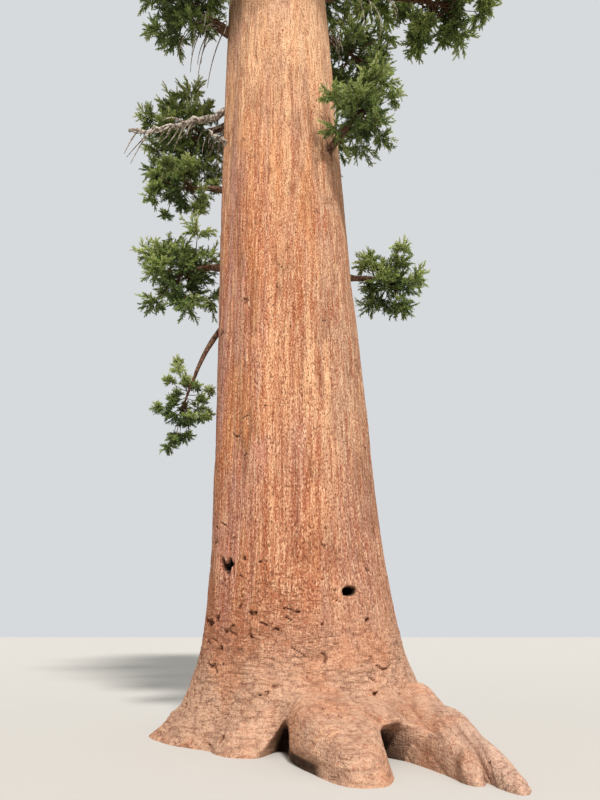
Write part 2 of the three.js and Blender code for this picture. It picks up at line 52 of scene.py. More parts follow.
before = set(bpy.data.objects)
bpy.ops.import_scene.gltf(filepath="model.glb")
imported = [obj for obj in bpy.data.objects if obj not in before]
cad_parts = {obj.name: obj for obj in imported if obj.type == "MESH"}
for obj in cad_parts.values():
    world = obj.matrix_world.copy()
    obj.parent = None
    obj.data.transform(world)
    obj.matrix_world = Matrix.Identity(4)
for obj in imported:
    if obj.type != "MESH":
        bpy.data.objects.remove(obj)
CAD_LOW, CAD_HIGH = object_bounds()

# Whole tree
TREE_HEIGHT = 40.0
TRUNK_HEIGHT = 37.6
GOLDEN_ANGLE = math.pi * (3 - math.sqrt(5))

# Trunk: column, taper, lean and flare
COLUMN_RADIUS = 1.06
TAPER_HEIGHT = 39.0
TAPER_POWER = 1.75
LEAN_OFFSET = -0.55
LEAN_HEIGHT = 9.3
LEAN_POWER = 1.5
SWELL_REACH = 0.18
SWELL_HEIGHT = 1.5
SWELL_RIGHT = SimpleNamespace(azimuth=-8, share=0.95, width=50)
FLARE_REACH = 0.33
FLARE_HEIGHT = 0.42
FLUTE_COUNT = 9
FLUTE_DEPTH = 0.014
FLUTE_TWIST_HEIGHT = 5.2

# Broad swellings of the flare: azimuth in degrees, added reach at the ground, half width in degrees
FLARE_LOBES = (
    (0, 0.19, 34),
    (180, 0.19, 30),
    (-135, -0.17, 34),
    (48, 0.26, 20),
    (96, 0.42, 22),
    (143, 0.24, 18),
)

# The burl and short root toes: azimuth, reach, half width in degrees, height, power of its roundness
BUTTRESSES = {
    "burl": (-80, 0.94, 12.5, 0.56, 4),
    "burl, front column": (-78, 0.19, 5.5, 0.38, 3),
    "burl, right lobe": (-61, 0.66, 9, 0.5, 4),
    "right knob": (-54, 0.48, 4, 0.33, 3),
    "left toe": (184, 0.04, 9, 0.33, 2),
    "front left toe": (-118, 0.11, 10, 0.3, 2),
}

# Roots over the ground: azimuth and radius where each leaves the trunk, half way and at its tip,
# then height and half width at the trunk
ROOTS = {
    "long right root": ((-27, 1.4), (-50, 2.42), (-60.4, 3.31), 0.43, 0.31),
    "inner right root": ((-47, 1.35), (-56, 2.25), (-62, 2.95), 0.4, 0.17),
    "side root": ((24, 1.4), (30, 1.9), (35, 2.4), 0.34, 0.26),
    "back root": ((72, 1.35), (77, 2.15), (86, 2.85), 0.48, 0.32),
    "back left root": ((130, 1.25), (126, 1.95), (116, 2.55), 0.42, 0.29),
    "left back root": ((162, 1.2), (156, 1.65), (146, 2.05), 0.32, 0.23),
}
ROOT_TIP_WIDTH = 0.085
ROOT_FULLNESS = 1.5
ROOT_CLIMB = 0.19
ROOT_SPREAD = 0.13
ROOT_FILLET = 0.16

# Hollows in the foot: azimuth, level, half width in degrees, half height, depth, and the share by
# which each narrows and the degrees by which it drifts for a metre of rise
HOLLOWS = {
    "cave beside the burl": (-99, 0.06, 5.2, 0.21, 0.46, 2.6, 12),
    "alcove under the burl": (-63, 0.04, 6.5, 0.24, 0.76, 0, 0),
    "undercut of the burl": (-90, 0, 5, 0.11, 0.2, 0, 0),
}
HOLLOW_LEAST_WIDTH = 0.15

# Limbs and the rule by which foliage grows
ROOT_DEPTH = 0.26
BOUGH_SHOW = 0.42
BOUGH_TAPER = 0.55
BOUGH_BEND = 0.55
CURVE_STEPS = 6
CORE_CORNERS = 20
TIP_SHARE = 0.78
STEM_RADIUS_SHARE = 0.036
STEM_PAST_CENTRE = 0.35
TWIG_RADIUS_SHARE = 0.014
FORKS_FROM = 0.4
FORKS_SPAN = 0.9
TURN_JITTER = 0.5
FULL_REACH = 0.9
CELL_MARGIN = 0.06
LIMB_CLEARANCE = 0.04

# Low limbs that stand apart: azimuth, root height, distance from the axis, height, spread, depth,
# tilt, bough radius, twigs of the source, and whether the mass is dense
LOW_LIMBS = {
    "left_drooping": (166, 5.8, 1.64, 4.3, 0.52, 0.98, -72, 0.052, 8, False),
    "left_rear_lower": (152, 6.5, 2.0, 7.05, 0.92, 1.25, 14, 0.095, 11, True),
    "left_rear_middle": (163, 8.05, 1.9, 8.5, 0.72, 0.82, 16, 0.072, 6, False),
    "right_rear_lower": (26, 6.5, 1.98, 6.8, 0.72, 0.96, 14, 0.085, 11, True),
    "rear_lower": (92, 7.6, 2.5, 8.2, 1.35, 1.5, 18, 0.125, 10, True),
    "right_front": (-39, 8.0, 1.6, 8.6, 0.74, 0.86, 30, 0.08, 12, True),
    "left_rear_upper": (148, 9.8, 2.2, 10.2, 1.12, 1.3, 10, 0.12, 11, True),
    "rear_upper": (84, 10.7, 2.75, 11.6, 1.55, 1.7, 20, 0.14, 10, True),
    "left_bright": (196, 11.2, 1.72, 11.75, 0.98, 1.12, 28, 0.11, 11, True),
    "right_dark": (42, 12.2, 2.15, 12.9, 1.15, 1.7, 12, 0.14, 12, True),
    "right_reach": (12, 12.8, 3.45, 13.45, 1.33, 0.86, 4, 0.13, 10, False),
}

# Upper crown: masses climb the trunk in a spiral inside a round-topped envelope
CROWN_START = 14.9
CROWN_FIRST_AZIMUTH = -100
CROWN_WIDEST = 22.0
CROWN_RADIUS = 5.05
CROWN_NARROWING = 0.09
CROWN_ROUNDING = 18.6
CROWN_ROUND_POWER = 2.3
CROWN_UNEVENNESS = 0.06
CROWN_UNEVEN_TURN = 2.4
CROWN_TOP_CENTRE = 36.9
CROWN_SPREAD_SHARE = 0.6
CROWN_STEP_SHARE = 0.45
CROWN_ROOT_SHARE = 0.3
CROWN_DEPTH_RATIO = 1.08
CROWN_BOUGH_SHARE = 0.06
CROWN_TWIGS = 10
CROWN_TILT = 26
BOUGHS_END = 29.5
TOP_MASS = "crown_top"
TOP_MASS_CENTRE = 38.25
TOP_MASS_SPREAD = 1.45

# Dead limbs: azimuth, root height, distance, height, radius, hanging twigs
DEAD_LIMBS = {
    "dead_limb_left": (182, 9.8, 2.6, 9.15, 0.075, 6),
    "dead_limb_left_stub": (204, 8.5, 1.26, 8.76, 0.055, 0),
}
DEAD_SAG = 0.12
DEAD_TAPER = 0.3


# Small mathematics

UP = np.array([0, 0, 1.0])
RIGHT = np.array([1.0, 0, 0])
STEEP = 0.9


def unit(vectors):
    return vectors / np.linalg.norm(vectors, axis=-1, keepdims=True)


def bell(distance, width, power):
    return np.exp(-np.abs(distance / width) ** power)


def turn_between(azimuth, centre):
    return (azimuth - centre + 180) % 360 - 180


def smooth_step(low, high, values):
    share = np.clip((values - low) / (high - low), 0, 1)
    return share * share * (3 - 2 * share)


def stacked(*parts):
    """Numbers and arrays as the coordinates of points."""
    return np.stack(np.broadcast_arrays(*parts), -1)


def drawn(random, limits, shape=None):
    """Random numbers spread evenly from a least value over a span."""
    least, span = limits
    return least + span * random.random(shape)


def bent(start, bend, end, share):
    """Points of a curve that leaves start for bend and arrives at end from it."""
    return (1 - share) ** 2 * start + 2 * share * (1 - share) * bend + share ** 2 * end


def bend_points(start, bend, end, steps):
    return bent(start, bend, end, np.linspace(0, 1, steps + 1)[:, None])


def seeded_random(seed):
    """The source's own generator, so that both draw the same numbers."""
    mask = 0xFFFFFFFF
    state = seed & mask

    def draw():
        nonlocal state
        state = (state + 0x6D2B79F5) & mask
        mixed = ((state ^ (state >> 15)) * (1 | state)) & mask
        mixed = ((mixed + (mixed ^ (mixed >> 7)) * (61 | mixed)) & mask) ^ mixed
        return ((mixed ^ (mixed >> 14)) & mask) / 4294967296

    return draw


def lattice(x, y, z, seed):
    """A steady number from 0 to 1 for each corner of a lattice."""
    mixed = (x * 374761393 + y * 668265263 + z * 1442695041 + seed * 974711) & 0xFFFFFFFF
    mixed = ((mixed ^ (mixed >> 13)) * 1274126177) & 0xFFFFFFFF
    mixed = ((mixed ^ (mixed >> 15)) * 2246822519) & 0xFFFFFFFF
    return ((mixed ^ (mixed >> 16)) & 0xFFFFFF) / 0xFFFFFF


def cloud(points, seed):
    """Smooth noise from 0 to 1 at each point, with cells one unit wide."""
    cell = np.floor(points).astype(np.int64)
    part = points - cell
    part = part * part * part * (part * (part * 6 - 15) + 10)
    total = 0
    for corner in range(8):
        step = np.array([corner & 1, corner >> 1 & 1, corner >> 2 & 1])
        share = np.prod(np.where(step, part, 1 - part), axis=-1)
        total = total + share * lattice(*np.moveaxis(cell + step, -1, 0), seed)
    return total


# Trunk form

def trunk_axis(height):
    return LEAN_OFFSET * (1 - np.exp(-(np.maximum(0, height) / LEAN_HEIGHT) ** LEAN_POWER))


def trunk_radius(azimuth, height):
    taper = 1 - (height / TAPER_HEIGHT) ** TAPER_POWER
    flutes = np.sin(np.radians(azimuth * FLUTE_COUNT) + height / FLUTE_TWIST_HEIGHT)
    radius = (COLUMN_RADIUS + FLUTE_DEPTH * flutes) * taper
    rightward = bell(turn_between(azimuth, SWELL_RIGHT.azimuth), SWELL_RIGHT.width, 2)
    radius += SWELL_REACH * (1 + SWELL_RIGHT.share * rightward) * np.exp(-height / SWELL_HEIGHT)
    flare = FLARE_REACH
    for centre, reach, width in FLARE_LOBES:
        flare = flare + reach * bell(turn_between(azimuth, centre), width, 2)
    radius += flare * np.exp(-height / FLARE_HEIGHT)
    for centre, reach, width, top, power in BUTTRESSES.values():
        rise = np.maximum(0, 1 - (height / top) ** power)
        radius += reach * rise * bell(turn_between(azimuth, centre), width, 3)
    for hollow in HOLLOWS.values():
        radius -= hollow[4] * hollow_share(hollow, azimuth, height)
    return radius


def hollow_share(hollow, azimuth, height):
    """1 in the middle of a hollow in the foot and 0 outside it."""
    centre, level, width, tall, _, narrowing, drift = hollow
    width = width * np.maximum(HOLLOW_LEAST_WIDTH, 1 - narrowing * height)
    return bell(turn_between(azimuth, centre + drift * height), width, 4) * bell(height - level, tall, 4)


def trunk_point(azimuth, height, radius):
    angle = np.radians(azimuth)
    return stacked(trunk_axis(height) + radius * np.cos(angle), radius * np.sin(angle), height)


# Plan of limbs and masses

def limb_direction(azimuth, tilt):
    level = math.cos(math.radians(tilt))
    return np.array([level * math.cos(math.radians(azimuth)), level * math.sin(math.radians(azimuth)),
                     math.sin(math.radians(tilt))])


def root_point(limb):
    return trunk_point(limb.azimuth, limb.root, trunk_radius(limb.azimuth, limb.root) - ROOT_DEPTH)


def plan_mass(limb, seed):
    limb.seed = seed
    limb.direction = limb_direction(limb.azimuth, limb.tilt)
    limb.centre = trunk_point(limb.azimuth, limb.height, limb.distance)
    limb.radii = np.array([limb.spread, limb.spread, limb.depth])
    inner = 1 / np.linalg.norm(limb.direction / limb.radii)
    room = limb.distance - trunk_radius(limb.azimuth, limb.height) - BOUGH_SHOW
    share = min(TIP_SHARE, room / (inner * math.cos(math.radians(limb.tilt))))
    limb.tip = limb.centre - limb.direction * inner * share
    return limb


def crown_reach(height):
    above = max(0, height - CROWN_WIDEST) / CROWN_ROUNDING
    below = max(0, CROWN_WIDEST - height)
    return CROWN_RADIUS * (1 - above ** CROWN_ROUND_POWER) - CROWN_NARROWING * below


def plan_low_limbs():
    keys = ("azimuth", "root", "distance", "height", "spread", "depth", "tilt", "radius", "twigs", "core")
    return [SimpleNamespace(name=name, low=True, on_trunk=False, **dict(zip(keys, sizes)))
            for name, sizes in LOW_LIMBS.items()]


def plan_crown():
    limbs = []
    height = CROWN_START
    while height < CROWN_TOP_CENTRE:
        number = len(limbs)
        uneven = CROWN_UNEVENNESS * (1 - math.cos(CROWN_UNEVEN_TURN * number))
        reach = crown_reach(height) * (1 - uneven)
        spread = CROWN_SPREAD_SHARE * reach
        limbs.append(SimpleNamespace(
            name=f"crown_{number + 1:02d}",
            azimuth=CROWN_FIRST_AZIMUTH + math.degrees(number * GOLDEN_ANGLE),
            root=height - CROWN_ROOT_SHARE * spread,
            distance=reach - spread,
            height=height,
            spread=spread,
            depth=spread * CROWN_DEPTH_RATIO,
            tilt=CROWN_TILT,
            radius=CROWN_BOUGH_SHARE * spread,
            twigs=CROWN_TWIGS,
            core=True,
            low=False,
            on_trunk=height > BOUGHS_END,
        ))
        height += CROWN_STEP_SHARE * spread
    return limbs


def plan_top(seed):
    """The topmost mass stands on the trunk's tip."""
    return SimpleNamespace(
        name=TOP_MASS,
        seed=seed,
        direction=UP,
        centre=trunk_point(0, TOP_MASS_CENTRE, 0),
        radii=np.array([TOP_MASS_SPREAD, TOP_MASS_SPREAD, TREE_HEIGHT - TOP_MASS_CENTRE]),
        spread=TOP_MASS_SPREAD,
        tip=trunk_point(0, TRUNK_HEIGHT, 0),
        twigs=CROWN_TWIGS,
        core=True,
        low=False,
        on_trunk=True,
    )


def bough_points(limb, steps):
    start = root_point(limb)
    bend = limb.tip - limb.direction * BOUGH_BEND * np.linalg.norm(limb.tip - start)
    return bend_points(start, bend, limb.tip, steps)


LIMBS = plan_low_limbs() + plan_crown()
MASSES = [plan_mass(limb, number + 1) for number, limb in enumerate(LIMBS)]
MASSES.append(plan_top(len(LIMBS) + 1))
BOUGHS = [mass for mass in MASSES if not mass.on_trunk]
LIMB_LINES = [(bough_points(bough, CURVE_STEPS), bough.radius) for bough in BOUGHS]


def fill(mass, points):
    return np.sum(((points - mass.centre) / mass.radii) ** 2, axis=-1)


def near_trunk(points):
    height = np.clip(points[..., 2], 0, TRUNK_HEIGHT)
    x = points[..., 0] - trunk_axis(height)
    azimuth = np.degrees(np.arctan2(points[..., 1], x))
    near = np.hypot(x, points[..., 1]) < trunk_radius(azimuth, height) + LIMB_CLEARANCE
    return near & (points[..., 2] < TRUNK_HEIGHT + LIMB_CLEARANCE)


def near_limb(points):
    near = np.zeros(points.shape[:-1], bool)
    for line, radius in LIMB_LINES:
        for start, end in zip(line[:-1], line[1:]):
            along = end - start
            share = np.clip((points - start) @ along / (along @ along), 0, 1)
            gap = np.linalg.norm(points - start - share[..., None] * along, axis=-1)
            near |= gap < radius + LIMB_CLEARANCE
    return near


def in_own_space(mass, points, reach=1.0):
    """Inside the mass's reach, nearer in share to it than to any other, clear of trunk and limbs."""
    own = fill(mass, points)
    good = (own <= reach) & ~near_trunk(points) & ~near_limb(points)
    for other in MASSES:
        if other is not mass:
            good &= fill(other, points) > own + CELL_MARGIN
    return good


def ball_way(number, count, turn):
    """One of the directions that are spread evenly over a ball, turned round the upright."""
    rise = 1 - 2 * (number + 0.5) / count
    level = math.sqrt(1 - rise ** 2)
    return np.array([level * math.cos(turn), level * math.sin(turn), rise])


def fork_point(mass, number, count):
    """Where one of a mass's twigs leaves the stem."""
    along = FORKS_FROM + FORKS_SPAN * (number + 0.5) / count
    return mass.tip + (mass.centre - mass.tip) * along


def source_twigs(mass):
    """Fork and far end of each twig that the source draws, in its order of random numbers."""
    draw = seeded_random(mass.seed)
    if mass.core:
        for _ in range(CORE_CORNERS):
            draw()
    twigs = []
    for number in range(mass.twigs):
        way = ball_way(number, mass.twigs, number * GOLDEN_ANGLE + TURN_JITTER * draw()) * mass.radii
        reach = 1.0
        if number == 0:
            way = mass.direction / np.linalg.norm(mass.direction / mass.radii)
        else:
            reach = FULL_REACH + (1 - FULL_REACH) * draw()
        draw()
        twigs.append((fork_point(mass, number, mass.twigs), mass.centre + way * reach))
    return twigs


# Settings

def srgb(code):
    """Linear colour from an sRGB code such as 0xA4582F."""
    parts = [(code >> shift & 255) / 255 for shift in (16, 8, 0)]
    return tuple(part / 12.92 if part <= 0.04045 else ((part + 0.055) / 1.055) ** 2.4 for part in parts)


def colour_property(name, description, code):
    return bpy.props.FloatVectorProperty(
        name=name, description=description, default=srgb(code), size=3, min=0, max=1, subtype="COLOR")


def length_property(name, description, default):
    return bpy.props.FloatProperty(
        name=name, description=description, default=default, min=0, unit="LENGTH", subtype="DISTANCE")


def number_property(name, description, default):
    return bpy.props.FloatProperty(name=name, description=description, default=default, min=0)


def angle_property(name, description, degrees):
    return bpy.props.FloatProperty(name=name, description=description, default=math.radians(degrees), min=0,
                                   unit="ROTATION", subtype="ANGLE")


def count_property(name, description, default):
    return bpy.props.IntProperty(name=name, description=description, default=default, min=1)


class SequoiaBarkSettings(bpy.types.PropertyGroup):
    """Relief and colours of the trunk's bark"""

    ridge_width: length_property("Ridge width", "Width of the broad soft ridges", 0.3)
    ridge_height: length_property("Ridge height", "Height of the broad soft ridges", 0.045)
    furrow_width: length_property("Furrow width", "From one furrow to the next", 0.085)
    furrow_length: length_property("Furrow length", "How far a furrow runs before it wanders", 1.3)
    furrow_depth: length_property("Furrow depth", "Depth of the furrows", 0.014)
    fibre_depth: length_property("Fibre depth", "Depth of the fine fibrous grooves", 0.01)
    crease_depth: length_property("Crease depth", "Depth of the creases that lie across the flare", 0.012)
    crease_height: length_property("Crease height", "From one crease of the flare to the next", 0.045)
    gash_depth: length_property("Gash depth", "Depth of the short slanting gashes", 0.042)
    cinnamon: colour_property("Cinnamon", "Colour of the left side's bark", 0xBB7852)
    fawn: colour_property("Fawn", "Colour of the right side's bark", 0xAC856C)
    straw: colour_property("Straw", "Golden streaks on the ridges", 0xD9A67C)
    pale: colour_property("Pale", "Palest fibres", 0xEFC9A0)
    rust: colour_property("Rust", "Red-brown between the ridges", 0x9C5636)
    blush: colour_property("Blush", "Broad pinkish patches", 0xB58478)
    ember: colour_property("Ember", "Orange patches", 0xC9824C)
    violet: colour_property("Violet", "Weathered violet-brown streaks", 0x9A6A62)
    # The furrow colour is painted shade in the furrows, creases and gashes, and also colours dark flecks and
    # cracks.
    furrow: colour_property("Furrow", "Depth of the furrows", 0x5A3224)
    root: colour_property("Root", "Tan bark of the flare", 0xBD967C)
    dust: colour_property("Dust", "Dust on the long roots", 0xD9C6B7)
    # Char also stands as painted shade on the walls of the hollows in the foot.
    char: colour_property("Char", "Burnt pockets", 0x0A0605)


class SequoiaLimbSettings(bpy.types.PropertyGroup):
    """Colours of boughs, twigs and dead wood"""

    bark: colour_property("Limb bark", "Ridges of the boughs", 0x7A5A45)
    bark_dark: colour_property("Limb bark, dark", "Grooves of the boughs", 0x3B271C)
    twig: colour_property("Twigs", "Bark of the twigs", 0x6A4A34)
    dead: colour_property("Dead wood", "Bleached dead limbs", 0xC6BAAB)
    dead_dark: colour_property("Dead wood, dark", "Weathered side of dead limbs", 0x57493E)


class SequoiaFoliageSettings(bpy.types.PropertyGroup):
    """Numbers, sizes and colours of the foliage"""

    low_clumps: count_property("Clumps, low masses", "Clumps of sprays in each low mass", 26)
    crown_clumps: count_property("Clumps, crown masses", "Clumps of sprays in each crown mass", 23)
    twiglets: count_property("Twiglets", "Twiglets in each clump", 12)
    low_sprays: count_property("Sprays, low masses", "Sprays on each twiglet of a low mass", 14)
    crown_sprays: count_property("Sprays, crown masses", "Sprays on each twiglet of a crown mass", 8)
    needles: count_property("Needles", "Needles that leave the axis of each spray", 11)
    shade_green: colour_property("Shade green", "Inner and lower sprays", 0x5E7040)
    deep_green: colour_property("Deep green", "Sprays half in shade", 0x869852)
    leaf_green: colour_property("Leaf green", "Most outer sprays", 0xAFBB6E)
    tip_green: colour_property("Tip green", "Sunlit tips", 0xD0D698)


class SequoiaStageSettings(bpy.types.PropertyGroup):
    """Floor, light and camera"""

    floor: colour_property("Floor", "Plain pale floor", 0xB9B4AC)
    backdrop: colour_property("Backdrop", "Plain pale surroundings", 0xE6E9EC)
    backdrop_strength: number_property("Backdrop strength", "Brightness of the surroundings", 0.86)
    key_strength: number_property("Key strength", "Strength of the main light", 4.45)
    key_softness: angle_property("Key softness", "Angle that the main light fills", 9)
    eye_height: length_property("Eye height", "Height of the camera over the ground", 1.077)
    eye_distance: length_property("Eye distance", "Distance of the camera from the trunk's axis", 8.0)
    eye_pitch: angle_property("Eye pitch", "How far the camera looks up", 21.5)
    lens: bpy.props.FloatProperty(
        name="Lens", description="Focal length on a 36 mm long side", default=27.045, min=1,
        unit="CAMERA")


SETTINGS = {
    "sequoia_bark": SequoiaBarkSettings,
    "sequoia_limbs": SequoiaLimbSettings,
    "sequoia_foliage": SequoiaFoliageSettings,
    "sequoia_stage": SequoiaStageSettings,
}


# Meshes

RIDGE_CROWDING = 2.4
RIDGE_LENGTH = 0.22


def make_piece(name, points, faces, material, nodes, smooth=True, shades=None):
    """One object from arrays of points and of faces, which all have as many corners."""
    mesh = bpy.data.meshes.new(name)
    mesh.vertices.add(len(points))
    mesh.vertices.foreach_set("co", np.asarray(points, np.float32).ravel())
    mesh.loops.add(faces.size)
    mesh.loops.foreach_set("vertex_index", np.asarray(faces, np.int32).ravel())
    mesh.polygons.add(len(faces))
    mesh.polygons.foreach_set("loop_start", np.arange(0, faces.size, faces.shape[1], dtype=np.int32))
    mesh.update(calc_edges=True)
    mesh.polygons.foreach_set("use_smooth", np.full(len(faces), smooth))
    for shade, values in (shades or {}).items():
        layer = mesh.attributes.new(shade, "FLOAT", "POINT")
        layer.data.foreach_set("value", np.asarray(values, np.float32).ravel())
    mesh.materials.append(material)
    piece = bpy.data.objects.new(name, mesh)
    bpy.context.scene.collection.objects.link(piece)
    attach(piece, "root")
    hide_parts(*nodes)
    return piece


def round_turn(sides):
    return np.arange(sides) * 2 * math.pi / sides


def sideways(along, guide=None):
    """Two directions across each direction, level ones first unless the guide is steep."""
    guide = along if guide is None else guide
    across = unit(np.cross(np.where(np.abs(guide[..., 2:]) > STEEP, RIGHT, UP), along))
    return across, np.cross(along, across)


def spokes(along, turn, guide=None):
    """Directions across each direction, at each turn round it."""
    across, over = sideways(along, guide)
    return across[:, None] * np.cos(turn)[..., None] + over[:, None] * np.sin(turn)[..., None]


def tube_faces(rings, sides):
    """Faces of a tube of rings, each a loop of points in order."""
    ring, side = np.meshgrid(np.arange(rings - 1), np.arange(sides), indexing="ij")
    here = ring * sides + side
    beside = ring * sides + (side + 1) % sides
    return np.stack([here, beside, beside + sides, here + sides], axis=-1).reshape(-1, 4)


def halved(faces):
    """Four-cornered faces as triangles."""
    return np.concatenate([faces[:, [0, 1, 2]], faces[:, [0, 2, 3]]])


def fan(rim, hub):
    """Triangles from each side of a rim to a hub."""
    return np.stack([rim, np.roll(rim, -1), np.full(len(rim), hub)], -1)


def sticks(starts, bends, ends, radii, taper, sides, steps):
    """Many bent sticks at once, as one array of points and one of faces."""
    share = np.linspace(0, 1, steps + 1)[None, :, None]
    lines = bent(starts[:, None], bends[:, None], ends[:, None], share)
    widths = radii[:, None] * (1 + (taper - 1) * share[..., 0])
    around = spokes(unit(ends - starts), round_turn(sides))
    points = lines[:, :, None] + widths[:, :, None, None] * around[:, None]
    offsets = np.arange(len(starts))[:, None, None] * (steps + 1) * sides
    return points.reshape(-1, 3), (tube_faces(steps + 1, sides)[None] + offsets).reshape(-1, 4)


def rough_tube(line, radii, sides, roughness, seed):
    """A closed tube along a line whose surface is ridged along its length."""
    along = unit(np.gradient(line, axis=0))
    turn = round_turn(sides)
    path = np.linspace(0, np.linalg.norm(line[-1] - line[0]), len(line))
    places = stacked(RIDGE_CROWDING * np.cos(turn), RIDGE_CROWDING * np.sin(turn),
                     path[:, None] / RIDGE_LENGTH)
    lumps = 1 + roughness * (2 * cloud(places, seed) - 1)
    points = line[:, None] + (radii[:, None] * lumps)[..., None] * spokes(along, turn, along[len(line) // 2])
    points = np.concatenate([points.reshape(-1, 3), line[:1], line[-1:]])
    rim = np.arange(sides)
    caps = [fan(rim[::-1], len(points) - 2), fan(rim + (len(line) - 1) * sides, len(points) - 1)]
    return points, np.concatenate([halved(tube_faces(len(line), sides)), *caps])


def joined(parts):
    """Arrays of points and faces, one after another, as one pair of arrays."""
    points, faces, count = [], [], 0
    for part_points, part_faces in parts:
        points.append(part_points)
        faces.append(part_faces + count)
        count += len(part_points)
    return np.concatenate(points), np.concatenate(faces)


# Materials

def new_material(name, roughness, specular=0.25):
    material = bpy.data.materials.new(name)
    material.use_nodes = True
    shader = material.node_tree.nodes["Principled BSDF"]
    shader.inputs["Roughness"].default_value = roughness
    shader.inputs["Specular IOR Level"].default_value = specular
    return material, material.node_tree, shader


def add_node(tree, kind, sockets, **settings):
    """Outputs of a new node whose sockets take values or other nodes' outputs."""
    node = tree.nodes.new(f"ShaderNode{kind}")
    for name, value in settings.items():
        setattr(node, name, value)
    for socket, value in sockets.items():
        if isinstance(value, bpy.types.NodeSocket):
            tree.links.new(value, node.inputs[socket])
        else:
            node.inputs[socket].default_value = value
    return node.outputs


def place(tree, stretch):
    """The piece's own coordinates, with each axis stretched."""
    own = add_node(tree, "TexCoord", {})["Object"]
    return add_node(tree, "Mapping", {"Vector": own, "Scale": stretch})["Vector"]


def clouds(tree, stretch, scale, detail, distortion=0.0):
    return add_node(tree, "TexNoise", {"Vector": place(tree, stretch), "Scale": scale, "Detail": detail,
                                       "Distortion": distortion})["Fac"]


def cells(tree, stretch, scale, feature):
    return add_node(tree, "TexVoronoi", {"Vector": place(tree, stretch), "Scale": scale}, feature=feature)


def between(tree, value, low, high):
    """0 at low, 1 at high and smooth between them."""
    return add_node(tree, "MapRange", {"Value": value, "From Min": low, "From Max": high},
                    interpolation_type="SMOOTHSTEP")["Result"]


def line_cracks(tree, stretch, scale, width):
    """1 along the irregular borders of cells."""
    return between(tree, cells(tree, stretch, scale, "DISTANCE_TO_EDGE")["Distance"], width, 0.0)


def dots(tree, stretch, scale, size, rareness):
    """1 in a small dot at the heart of the few cells that are picked."""
    found = cells(tree, stretch, scale, "F1")
    chosen = between(tree, found["Color"], rareness, rareness + 0.05)
    return product(tree, between(tree, found["Distance"], size, 0.4 * size), chosen)


def blended(tree, factor, first, second):
    """Two colours mixed, where each is a plain colour or another node's output."""
    first, second = [colour if isinstance(colour, bpy.types.NodeSocket) else (*colour, 1)
                     for colour in (first, second)]
    return add_node(tree, "Mix", {0: factor, 6: first, 7: second}, data_type="RGBA")[2]


def calculated(tree, operation, values):
    """One operation carried out over all values, from the first to the last."""
    result, *others = values
    for value in others:
        result = add_node(tree, "Math", {0: result, 1: value}, operation=operation)[0]
    return result


def product(tree, *values):
    return calculated(tree, "MULTIPLY", values)


def total(tree, *values):
    return calculated(tree, "ADD", values)


def raised(tree, shader, height, distance, strength):
    bump = add_node(tree, "Bump", {"Height": height, "Distance": distance, "Strength": strength})
    tree.links.new(bump["Normal"], shader.inputs["Normal"])


ALL_WAYS = (1, 1, 1)

# Noise in the bark: stretch of the axes, scale, detail and distortion
BARK_NOISE = {
    "bands": ((1, 1, 0.03), 5.5, 3, 0.3),
    "streaks": ((1, 1, 0.03), 21, 5),
    "strands": ((1, 1, 0.06), 66, 5, 0.2),
    "flecks": ((1, 1, 0.5), 68, 2),
    "creases": ((1, 1, 3.4), 17, 4, 0.4),
    "blushes": ((1, 1, 0.3), 1.7, 4),
    "embers": ((1, 1, 0.12), 3.4, 4),
    "skins": (ALL_WAYS, 2.1, 4),
    "cracked": (ALL_WAYS, 3.1, 2),
    "tears": ((1, 1, 2.4), 10, 3, 0.8),
}

# Marks in the bark: stretch of the axes, scale, size and, for dots, how rare they are
CRACKS = ((1, 1, 2.6), 8.5, 0.045)
NOTCH_LINES = ((1, 1, 1.9), 4.2, 0.085)
NOTCH_DOTS = ((1, 1, 1.5), 2.7, 0.3, 0.5)
POCKS = ((1, 1, 0.8), 5.0, 0.085, 0.7)

# Zones of the bark: axis, where each starts and where it is full, in metres
BARK_ZONES = {
    "flare": ("Z", 1.75, 0.6),
    "right": ("X", -0.75, 0.75),
    "left": ("X", 0.1, -1.2),
    "upper": ("Z", 5.0, 11.0),
    # Painted sunlight: this zone makes the bark paler towards the top of the column.
    "high": ("Z", 6.0, 12.0),
    # Painted shade: this zone makes the bark redder and darker towards the foot of the column.
    "lower": ("Z", 4.2, 1.4),
    "low right": ("Z", 4.2, 2.2),
    "over the ground": ("Z", 0.5, 1.2),
    "red side": ("X", 0.4, -0.9),
    "right root": ("X", 1.1, 2.0),
    "near the ground": ("Z", 1.0, 0.4),
    "crack top": ("Z", 1.9, 1.2),
    "notch top": ("Z", 11.0, 3.0),
    "notch foot": ("Z", 0.6, 1.2),
    "tear foot": ("Z", 0.7, 1.1),
    "tear top": ("Z", 1.95, 1.35),
    "tear side": ("X", 0.55, -0.25),
}

# What is left of 1 where a share of a zone is taken off it
BARK_OFF_ZONES = {
    "off the flare": ("flare", 1),
    "mostly off the flare": ("flare", 0.75),
    "half off the flare": ("flare", 0.55),
    "off the right": ("right", 1),
}

# Layers of colour, each over the one before: colour, strength and masks, each of them the name of a
# zone or mark, or a noise with the values at which the mask is 0 and 1
COLUMN_LAYERS = (
    ("straw", 0.6, "upper"),
    ("straw", 0.75, ("bands", 0.5, 0.64)),
    ("violet", 0.85, ("bands", 0.5, 0.4), "left"),
    ("blush", 0.62, ("blushes", 0.48, 0.6), "off the right"),
    ("ember", 0.55, ("embers", 0.52, 0.64)),
    ("rust", 0.72, ("streaks", 0.5, 0.37)),
    ("straw", 0.62, ("streaks", 0.54, 0.67)),
    # Painted sunlight: paler bark high on the trunk.
    ("pale", 0.34, "high"),
    # Painted shade: redder, darker bark low on the column.
    ("rust", 0.24, "lower"),
    ("violet", 0.26, "right", "low right"),
)
FLARE_LAYERS = (
    ("cinnamon", 0.45, ("skins", 0.46, 0.66)),
    ("rust", 0.5, "over the ground", "red side"),
    ("rust", 0.42, ("creases", 0.5, 0.36)),
    ("straw", 0.5, ("creases", 0.54, 0.7)),
    ("dust", 0.4, "right root", "near the ground"),
)
